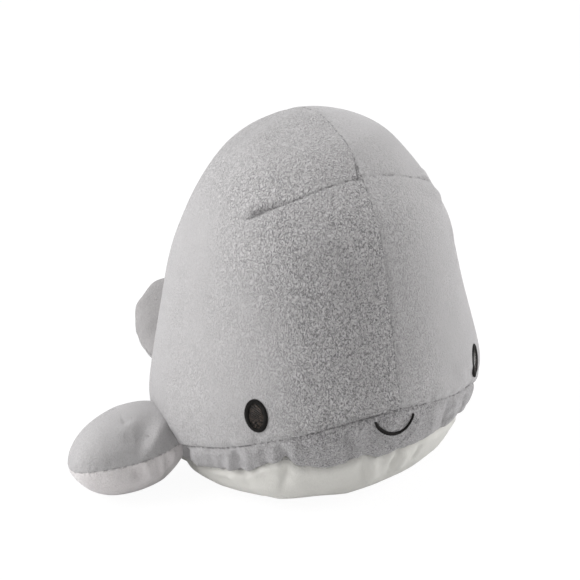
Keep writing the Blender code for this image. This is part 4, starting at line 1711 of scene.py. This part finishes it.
@dataclass
class ThreadWork:
    """A row of sewing stitches sunk along a seam."""

    room: Workroom
    name: str
    line: np.ndarray
    closed: bool
    pitch: float = 2.7 * MM
    stitch_share: float = 0.86
    thickness: float = 0.42 * MM
    ahead: float = 1.0 * MM

    def build(self) -> bpy.types.Object:
        """Sew the row.

        Returns:
            The piece.
        """
        line = np.concatenate([self.line, self.line[:1]]) if self.closed else self.line
        whole = run_of(line)[-1]
        count = max(int(whole / self.pitch), 2)
        at = (np.arange(count) + 0.5) * whole / count
        ahead = places_at(np.minimum(at + self.ahead, whole), line)
        behind = places_at(np.maximum(at - self.ahead, 0), line)
        batch, middle = StitchBatch(self.name), line.mean(0)
        size = (self.pitch * self.stitch_share, self.thickness, self.thickness)
        for spot, direction in zip(places_at(at, line), ahead - behind):
            batch.lay(spot, direction, unit(spot - middle), size)
        piece = batch.build()
        self.room.dress(piece, self.room.seam_grey)
        return piece


@dataclass
class BodySeams:
    """The sewing threads of the body."""

    room: Workroom
    cloth: BodyCloth
    jaw_depth: float = 1.7 * MM
    belly_depth: float = 2.1 * MM
    centre_depth: float = 0.9 * MM
    dart_depth: float = 1.2 * MM
    centre_start: float = 0.36
    centre_count: int = 160

    def line(self, angle: np.ndarray, step: np.ndarray, depth: float) -> np.ndarray:
        """Place a seam's line at a depth in its groove."""
        form = self.room.form
        return form.place(angle, step) - form.normal(angle, step) * depth

    def build(self) -> None:
        """Sew every seam of the body."""
        room = self.room
        ring = np.radians(np.arange(-180, 180, 0.5))
        up = np.linspace(self.centre_start, 1.0, self.centre_count)
        crown = np.concatenate([up, up[-2::-1]])
        turn = np.where(np.arange(len(crown)) < len(up), 0.0, math.pi)
        found = room.form.find(room.camera, self.cloth.face_strokes[0].pixels[:-1])
        dart = self.line(found[:, 0], found[:, 1], self.dart_depth)
        rows = (
            ("jaw_seam", self.line(ring, room.jaw_step(ring), self.jaw_depth), True),
            ("belly_seam", self.line(ring, room.belly_step(ring), self.belly_depth), True),
            ("centre_seam", self.line(turn, crown, self.centre_depth), False),
            ("right_dart", dart, False),
            ("left_dart", dart * MIRROR, False),
        )
        for name, line, closed in rows:
            piece = ThreadWork(room, f"{name}_stitches", line, closed).build()
            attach(piece, "body")
            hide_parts(f"{name}_thread")
            LOG.info("%s: sewn", piece.name)


@dataclass
class Embroidery:
    """The two eyes and the mouth, in satin and tatami stitches."""

    room: Workroom
    eye_pixel: tuple[float, float] = (256.2, 416.4)
    left_eye_shift: float = math.radians(-3.0)
    eye_half_width: float = 7.1 * MM
    eye_half_height: float = 10.2 * MM
    eye_turn: float = math.radians(9)
    eye_point: float = 0.10
    rim_width: float = 2.5 * MM
    rim_stitches: int = 136
    rim_slant: float = 0.10
    rim_lift: float = 0.1 * MM
    rim_ragged: float = 0.12 * MM
    rim_thread: tuple[float, float] = (0.50 * MM, 1.9 * MM)
    fill_inset: float = 0.05 * MM
    fill_rows: int = 36
    fill_stitch: float = 2.1 * MM
    fill_shortest: float = 0.4 * MM
    fill_slant: float = 0.15 * MM
    fill_depth: float = 0.1 * MM
    fill_thread: tuple[float, float] = (0.66 * MM, 1.0 * MM)
    mouth_pitch: float = 0.36 * MM
    mouth_lift: float = 0.5 * MM
    mouth_slant: float = 0.25
    mouth_thread: tuple[float, float] = (0.52 * MM, 1.7 * MM)
    mouth_pixels: Pixels = (
        (374.4, 420.6), (376.8, 424.8), (380.8, 428.0), (386.0, 430.2), (391.8, 431.0),
        (397.8, 429.4), (403.4, 425.6), (407.8, 420.2), (410.4, 415.6), (411.4, 411.8),
    )
    mouth_widths: tuple[float, ...] = (1.5, 2.1, 2.4, 2.5, 2.5, 2.1, 1.7, 1.4, 1.2, 0.9)

    def oval(self, turn: np.ndarray, inset: float) -> np.ndarray:
        """Draw the eye's outline on the flat, tilted and a little pointed below.

        Args:
            turn: angles round the outline.
            inset: how far inside the outer edge.

        Returns:
            Rows of distance across and distance up.
        """
        low = np.maximum(-np.sin(turn), 0.0)
        x = (self.eye_half_width - inset) * np.cos(turn) * (1 - self.eye_point * low**2)
        y = (self.eye_half_height - inset) * np.sin(turn)
        return self.tilted(np.stack([x, y], -1))

    def tilted(self, flat: np.ndarray) -> np.ndarray:
        """Turn points of the flat by the eye's tilt."""
        cos_t, sin_t = math.cos(self.eye_turn), math.sin(self.eye_turn)
        return flat @ np.array([[cos_t, sin_t], [-sin_t, cos_t]])

    def on_cheek(
        self, centre: np.ndarray, flat: np.ndarray, side: Side, lift: float
    ) -> tuple[np.ndarray, np.ndarray]:
        """Place points of an eye on the cheek.

        Args:
            centre: the right eye's angle and step.
            flat: rows of distance across and distance up.
            side: which eye.
            lift: how far off the cloth.

        Returns:
            The places and the directions off the cloth.
        """
        form, mirror = self.room.form, MIRROR if side is Side.LEFT else np.ones(3)
        found = form.spread_flat(centre, flat)
        normal = form.normal(found[:, 0], found[:, 1])
        places = self.room.onto_cloth(form.place(found[:, 0], found[:, 1]), normal)
        return (places + normal * lift) * mirror, normal * mirror

    def rim(self, side: Side, centre: np.ndarray) -> None:
        """Stitch the raised satin rim of an eye.

        Args:
            side: which eye.
            centre: the eye's angle and step, as on the right.
        """
        turn = math.tau * np.arange(self.rim_stitches) / self.rim_stitches
        outer, up = self.on_cheek(centre, self.oval(turn, 0.0), side, self.rim_lift)
        slanted = self.oval(turn + self.rim_slant, self.rim_width)
        inner, _ = self.on_cheek(centre, slanted, side, self.rim_lift)
        batch = StitchBatch(f"{side.word}_eye_rim_satin")
        ragged = self.rim_ragged * np.sin(np.arange(len(turn)) * 2.3)[:, None]
        outer = outer + unit(outer - inner) * ragged
        for first, last, rise in zip(outer, inner, up):
            long = float(np.linalg.norm(first - last)) * 1.1
            batch.lay((first + last) / 2, first - last, rise, (long, *self.rim_thread))
        self.hand_over(batch, self.room.black, f"{side.word}_eye_rim")

    def fill(self, side: Side, centre: np.ndarray) -> None:
        """Stitch the tatami rows inside an eye's rim.

        Args:
            side: which eye.
            centre: the eye's angle and step, as on the right.
        """
        inset, rows, length = self.rim_width + self.fill_inset, self.fill_rows, self.fill_stitch
        tall, wide = self.eye_half_height - inset, self.eye_half_width - inset
        ends = []
        for row in range(rows):
            along = tall * (2 * (row + 0.5) / rows - 1)
            reach = wide * math.sqrt(1 - (along / tall) ** 2)
            start = -reach - (row % 3) * length / 3
            while start < reach:
                low, high = max(start, -reach), min(start + length, reach)
                if high - low > self.fill_shortest:
                    ends += [(low, along + self.fill_slant), (high, along - self.fill_slant)]
                start += length
        spots, up = self.on_cheek(centre, self.tilted(np.array(ends)), side, -self.fill_depth)
        batch = StitchBatch(f"{side.word}_eye_fill_tatami")
        for first, last, rise in zip(spots[::2], spots[1::2], up[::2]):
            long = float(np.linalg.norm(last - first)) * 1.06
            batch.lay((first + last) / 2, last - first, rise, (long, *self.fill_thread))
        self.hand_over(batch, self.room.brown, f"{side.word}_eye_fill")

    def mouth(self) -> None:
        """Stitch the satin arc of the mouth on the jaw band."""
        form = self.room.form
        found = form.find(self.room.camera, self.mouth_pixels)
        share = np.linspace(0, 1, len(found))
        fine = np.linspace(0, 1, 400)
        weight = np.exp(-((np.arange(-24, 25) / 12.0) ** 2))
        weight /= weight.sum()
        dense = [np.interp(fine, share, found[:, axis]) for axis in (0, 1)]
        padded = [np.pad(row, 24, mode="reflect", reflect_type="odd") for row in dense]
        dense = [np.convolve(row, weight, "valid") for row in padded]
        places = form.place(*dense)
        run = run_of(places)
        count = int(run[-1] / self.mouth_pitch)
        at = np.linspace(0, run[-1], count)
        spot = places_at(at, places)
        normal = form.normal(*[np.interp(at, run, row) for row in dense])
        lift = np.sum((self.room.onto_cloth(spot, normal) - spot) * normal, -1)
        lift = np.convolve(np.pad(lift, 12, mode="edge"), np.ones(25) / 25, "valid")
        spot = spot + normal * np.maximum(lift, 0.0)[:, None]
        along = unit(np.gradient(spot, axis=0))
        across = unit(np.cross(normal, along) + self.mouth_slant * along)
        widths = np.interp(at / run[-1], share, self.mouth_widths) * MM
        batch = StitchBatch("mouth_satin")
        widths = widths * (1 + 0.07 * np.sin(np.arange(count) * 2.4))
        for middle, way, rise, wide in zip(spot + normal * self.mouth_lift, across, normal, widths):
            batch.lay(middle, way, rise, (wide, *self.mouth_thread))
        self.hand_over(batch, self.room.black, "mouth_stitching")

    def hand_over(self, batch: StitchBatch, finish: ThreadFinish, node: str) -> None:
        """Dress a batch of stitches and put it in its node's place.

        Args:
            batch: the stitches.
            finish: their thread.
            node: the CAD node that they take the place of.
        """
        piece = batch.build()
        self.room.dress(piece, finish)
        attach(piece, "body")
        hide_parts(node)
        LOG.info("%s: %d stitches", piece.name, len(batch.spots))

    def build(self) -> None:
        """Stitch the face."""
        centre = self.room.form.find(self.room.camera, [self.eye_pixel])[0]
        for side in Side:
            turned = centre - np.array([self.left_eye_shift if side is Side.LEFT else 0.0, 0.0])
            self.rim(side, turned)
            self.fill(side, turned)
        self.mouth()


@dataclass
class Flipper:
    """A flipper sewn into the jaw seam."""

    room: Workroom
    side: Side
    gap: float
    heading: float
    droop: float
    bend: float
    top_strokes: tuple[Stroke, ...] = ()
    bottom_strokes: tuple[Stroke, ...] = ()
    length: float = 0.063
    chord: float = 0.054
    thickness: float = 0.046
    inset: float = 0.003
    buried: float = 0.012
    sag: float = 0.21
    tip_drop: float = 2.5 * MM
    twist: float = 0.31
    roll: float = math.radians(4)
    angle: float = math.radians(97)
    root_power: float = 0.60
    tip_power: float = 0.62
    root_width: float = 0.92
    root_sag: float = 0.84
    cover: tuple[float, float] = (4 * MM, 14 * MM)

    def outline(self, turn: np.ndarray, reach: np.ndarray, up: int) -> np.ndarray:
        """Place points of a face.

        Args:
            turn: angles round the face, from the root.
            reach: shares from its middle to its edge.
            up: 1 for the top face, -1 for the bottom one.

        Returns:
            Distances out from the root and back, and the height off the seam.
        """
        along = (1 - np.cos(turn) * reach) / 2
        power = np.where(np.cos(turn) > 0, self.root_power, self.tip_power)
        across = np.copysign(np.abs(np.sin(turn)) ** power, np.sin(turn)) * reach
        narrow = self.root_width + (1 - self.root_width) * np.minimum(along / 0.5, 1.0)
        swell = 1.02 - 0.02 * along
        if up < 0:
            swell = np.minimum(self.root_sag + 0.5 * along, 1.0) * (1 + self.sag)
        height = self.thickness / 2 * np.maximum(1 - reach**2.4, 0.0) ** 0.6 * swell
        x = (self.length + self.buried) * along - self.inset - self.buried
        y = self.chord / 2 * across * narrow + self.bend * along**2
        return np.stack([x, y, height], -1)

    def drop(self, flat: np.ndarray) -> np.ndarray:
        """Let the tip hang a little lower than the root, with its front edge turned up."""
        part = np.clip(flat[..., 0] / self.length, 0.0, 1.0)
        return -self.tip_drop * part**3 - self.twist * flat[..., 1] * part**2

    def build(self) -> None:
        """Sew the flipper."""
        form, sign = self.room.form, self.side.value
        seam = form.jaw_seam
        root = Vector(form.place(np.array(sign * self.angle), np.array(seam)))
        round_it, _ = form.slopes(np.array(sign * self.angle), np.array(seam))
        outward = Vector(unit(np.cross(round_it, np.array([0.0, 0.0, 1.0]))))
        place = Matrix.Translation(root + outward * (self.gap + self.inset))
        turn = Euler((-self.roll, sign * self.droop, sign * (self.heading - math.pi / 2)), "XYZ")
        place = place @ turn.to_matrix().to_4x4()
        name = f"{self.side.word}_flipper"
        out = place.to_3x3() @ Vector((sign, 0, 0))
        limb = Limb(
            self.room, name, name, place, sign < 0, self.outline, self.drop,
            (f"{name}_top_panel", f"{name}_bottom_panel", f"{name}_stuffing"),
            place.translation - out * self.cover[0], place.translation + out * self.cover[1],
            self.top_strokes, self.bottom_strokes,
        )
        limb.build()


@dataclass
class Tail:
    """The fluke sewn into the back of the jaw seam."""

    room: Workroom
    length: float = 0.060
    half_span: float = 0.0675
    thickness: float = 0.042
    gap: float = 0.0007
    inset: float = 0.003
    buried: float = 0.006
    rise: float = math.radians(-1.0)
    middle_share: float = 0.48
    curl_share: float = 0.62
    bottom_swell: float = 1.15
    smoothing: int = 10
    cover: tuple[float, float] = (3 * MM, 12 * MM)
    outline_shares: tuple[tuple[float, float, float], ...] = (
        (0.00, 0.20, 0.00),
        (0.08, 0.28, 0.16),
        (0.18, 0.42, 0.42),
        (0.29, 0.42, 0.70),
        (0.40, 0.28, 0.92),
        (0.48, 0.10, 0.99),
        (0.56, -0.06, 1.00),
        (0.64, -0.25, 0.98),
        (0.73, -0.36, 0.89),
        (0.82, -0.42, 0.64),
        (0.91, -0.44, 0.30),
        (1.00, -0.48, 0.00),
    )

    def outline(self, turn: np.ndarray, reach: np.ndarray, up: int) -> np.ndarray:
        """Place points of a face.

        Args:
            turn: angles round the face, from its back edge.
            reach: shares from its middle to its edge.
            up: 1 for the top face, -1 for the bottom one.

        Returns:
            Distances across and back from the root, and the height off the seam.
        """
        rows = np.array(self.outline_shares)
        share = np.arctan2(np.abs(np.sin(turn)), np.cos(turn)) / math.pi
        fine, blur = 400, self.smoothing
        weight = np.exp(-((np.arange(-blur, blur + 1) / (blur / 2)) ** 2))
        weight /= weight.sum()
        mirrored_x = np.concatenate([-rows[:0:-1, 2], rows[:, 2], -rows[-2::-1, 2]])
        mirrored_y = np.concatenate([rows[:0:-1, 1], rows[:, 1], rows[-2::-1, 1]])
        at = np.concatenate([-rows[:0:-1, 0], rows[:, 0], 2 - rows[-2::-1, 0]])
        wide = np.linspace(-blur / fine, 1 + blur / fine, fine + 2 * blur + 1)
        dense = np.linspace(0, 1, fine + 1)
        across = np.interp(share, dense, np.convolve(np.interp(wide, at, mirrored_x), weight, "valid"))
        along = np.interp(share, dense, np.convolve(np.interp(wide, at, mirrored_y), weight, "valid"))
        x = np.where(np.sin(turn) >= 0, 1, -1) * self.half_span * across * reach
        y = self.length * (self.middle_share + along * reach) - self.inset
        y = y - self.buried * np.clip(1 - (y + self.inset) / (0.3 * self.length), 0, 1)
        lobe = 0.8 + 0.2 * np.minimum(2.2 * across * reach, 1.0)
        swell = lobe * np.minimum(0.5 + 1.2 * np.maximum(y, 0) / self.length, 1.0)
        height = self.thickness / 2 * np.maximum(1 - reach**2.5, 0.0) ** 0.6 * swell
        if up < 0:
            height = height * self.bottom_swell
        return np.stack([x, y, height], -1)

    def arch(self, flat: np.ndarray) -> np.ndarray:
        """Curl the lobes up behind the level stock."""
        part = np.maximum(0.0, (flat[..., 1] + self.inset) / self.length)
        return self.length * self.curl_share * part**2

    def build(self) -> None:
        """Sew the fluke."""
        form = self.room.form
        root = Vector(form.place(np.array(math.pi), np.array(form.jaw_seam)))
        place = Matrix.Translation(root + Vector((0, self.gap + self.inset, 0)))
        place = place @ Matrix.Rotation(self.rise, 4, "X")
        out = place.to_3x3() @ Vector((0, 1, 0))
        limb = Limb(
            self.room, "tail", "tail", place, False, self.outline, self.arch,
            ("tail_top_panel", "tail_bottom_panel", "tail_stuffing"),
            place.translation - out * self.cover[0], place.translation + out * self.cover[1], turns=280,
        )
        limb.build()


@dataclass(frozen=True)
class SoftLamp:
    """A large studio softbox aimed at the whale."""

    name: str
    azimuth: float
    elevation: float
    distance: float
    size: float
    power: float
    aim_height: float = 0.1

    def hang(self) -> None:
        """Hang the lamp."""
        data = bpy.data.lights.new(self.name, "AREA")
        data.shape = "DISK"
        data.size = self.size
        data.energy = self.power
        lamp = bpy.data.objects.new(self.name, data)
        bpy.context.scene.collection.objects.link(lamp)
        a, e = math.radians(self.azimuth), math.radians(self.elevation)
        back = Vector((math.sin(a) * math.cos(e), -math.cos(a) * math.cos(e), math.sin(e)))
        lamp.location = Vector((0, 0, self.aim_height)) + back * self.distance
        lamp.rotation_mode = "QUATERNION"
        lamp.rotation_quaternion = (-back).to_track_quat("-Z", "Y")


@dataclass
class Studio:
    """A white table under soft light."""

    lamps: tuple[SoftLamp, ...] = (
        SoftLamp("left_softbox", -105.0, 36.0, 1.4, 0.9, 14.0),
        SoftLamp("low_left_softbox", -100.0, 4.0, 1.3, 0.6, 3.2),
        SoftLamp("right_softbox", 70.0, 20.0, 1.5, 0.9, 13.4),
        SoftLamp("top_softbox", 150.0, 80.0, 1.5, 0.9, 7.0),
    )
    ambient: float = 0.34
    table_radius: float = 3.0
    table_drop: float = 0.3 * MM
    table_tone: float = 0.88
    table_glow: float = 1.05
    glow_part: float = 0.90

    def world(self) -> None:
        """Light the room evenly, and show it white."""
        world = bpy.data.worlds.new("studio")
        bpy.context.scene.world = world
        world.use_nodes = True
        tree = world.node_tree
        tree.nodes.clear()
        path = tree.nodes.new("ShaderNodeLightPath")
        shown = tree.nodes.new("ShaderNodeMath")
        shown.operation = "MAXIMUM"
        tree.links.new(path.outputs["Is Camera Ray"], shown.inputs[0])
        tree.links.new(path.outputs["Is Glossy Ray"], shown.inputs[1])
        strength = tree.nodes.new("ShaderNodeMapRange")
        tree.links.new(shown.outputs[0], strength.inputs["Value"])
        strength.inputs["To Min"].default_value = self.ambient
        strength.inputs["To Max"].default_value = 1.0
        background = tree.nodes.new("ShaderNodeBackground")
        background.inputs["Color"].default_value = (1.0, 1.0, 1.0, 1.0)
        tree.links.new(strength.outputs["Result"], background.inputs["Strength"])
        output = tree.nodes.new("ShaderNodeOutputWorld")
        tree.links.new(background.outputs[0], output.inputs[0])

    def floor(self) -> None:
        """Lay the white table top, which keeps a faint shadow."""
        bpy.ops.object.select_all(action="DESELECT")
        bpy.ops.mesh.primitive_circle_add(
            vertices=96, radius=self.table_radius, fill_type="NGON", location=(0, 0, -self.table_drop)
        )
        table = bpy.context.object
        table.name = "white_table"
        bpy.ops.object.transform_apply(location=True, rotation=True, scale=True)
        material = bpy.data.materials.new("white_table_top")
        material.use_nodes = True
        tree = material.node_tree
        shader = tree.nodes["Principled BSDF"]
        shader.inputs["Base Color"].default_value = (self.table_tone,) * 3 + (1.0,)
        shader.inputs["Roughness"].default_value = 0.9
        glow = tree.nodes.new("ShaderNodeEmission")
        path = tree.nodes.new("ShaderNodeLightPath")
        part = tree.nodes.new("ShaderNodeMath")
        part.operation = "MULTIPLY"
        tree.links.new(path.outputs["Is Camera Ray"], part.inputs[0])
        part.inputs[1].default_value = self.glow_part
        mix = tree.nodes.new("ShaderNodeMixShader")
        tree.links.new(part.outputs[0], mix.inputs[0])
        tree.links.new(shader.outputs[0], mix.inputs[1])
        tree.links.new(glow.outputs[0], mix.inputs[2])
        tree.links.new(mix.outputs[0], tree.nodes["Material Output"].inputs[0])
        glow.inputs["Strength"].default_value = self.table_glow
        table.data.materials.append(material)

    def build(self) -> None:
        """Set up the table and the light."""
        self.world()
        self.floor()
        for lamp in self.lamps:
            lamp.hang()
        bpy.context.scene.view_settings.view_transform = "Standard"


TOP_FOLDS = (
    Stroke(((152, 414), (145, 427), (142, 440), (144, 452)), -2.3, 6.0, (0.4, 0.9, 1.0, 0.7)),
    Stroke(((163, 424), (157, 436), (151, 447), (144, 457)), 2.4, 3.8, (0.4, 1.0, 1.0, 0.6)),
    Stroke(((172, 434), (167, 444), (161, 452)), -1.4, 3.0, (0.6, 1.0, 0.6)),
    Stroke(((101, 428), (96, 441)), 0.6, 9.0),
    Stroke(((112, 463), (128, 459)), -0.7, 3.0),
)
BOTTOM_FOLDS = (
    Stroke(((136, 472), (138, 476)), -2.8, 3.4),
    Stroke(((147, 465), (149, 476)), 1.6, 3.2),
    Stroke(((158, 461), (160, 474)), -1.0, 2.0),
    Stroke(((167, 456), (168, 462), (167, 468)), -1.6, 2.0, (0.6, 1.0, 0.4)),
    Stroke(((173, 452), (173, 460)), 1.0, 2.2),
    Stroke(((112, 476), (116, 488)), 0.9, 7.0),
)


def main() -> None:
    """Build the plush whale and its studio."""
    logging.basicConfig(level=logging.INFO, format="%(name)s: %(message)s")
    room = Workroom()
    room.camera.set_up()
    Studio().build()
    cloth = BodyCloth(room)
    cloth.build()
    BodySeams(room, cloth).build()
    Embroidery(room).build()
    Flipper(
        room, Side.RIGHT, gap=0.0004, heading=math.radians(92), droop=math.radians(9), bend=0.0,
        top_strokes=TOP_FOLDS, bottom_strokes=BOTTOM_FOLDS,
    ).build()
    Flipper(
        room, Side.LEFT, gap=0.0036, heading=math.radians(120), droop=math.radians(8), bend=0.042,
        tip_drop=0.0, twist=0.0,
    ).build()
    Tail(room).build()


if __name__ == "__main__":
    main()
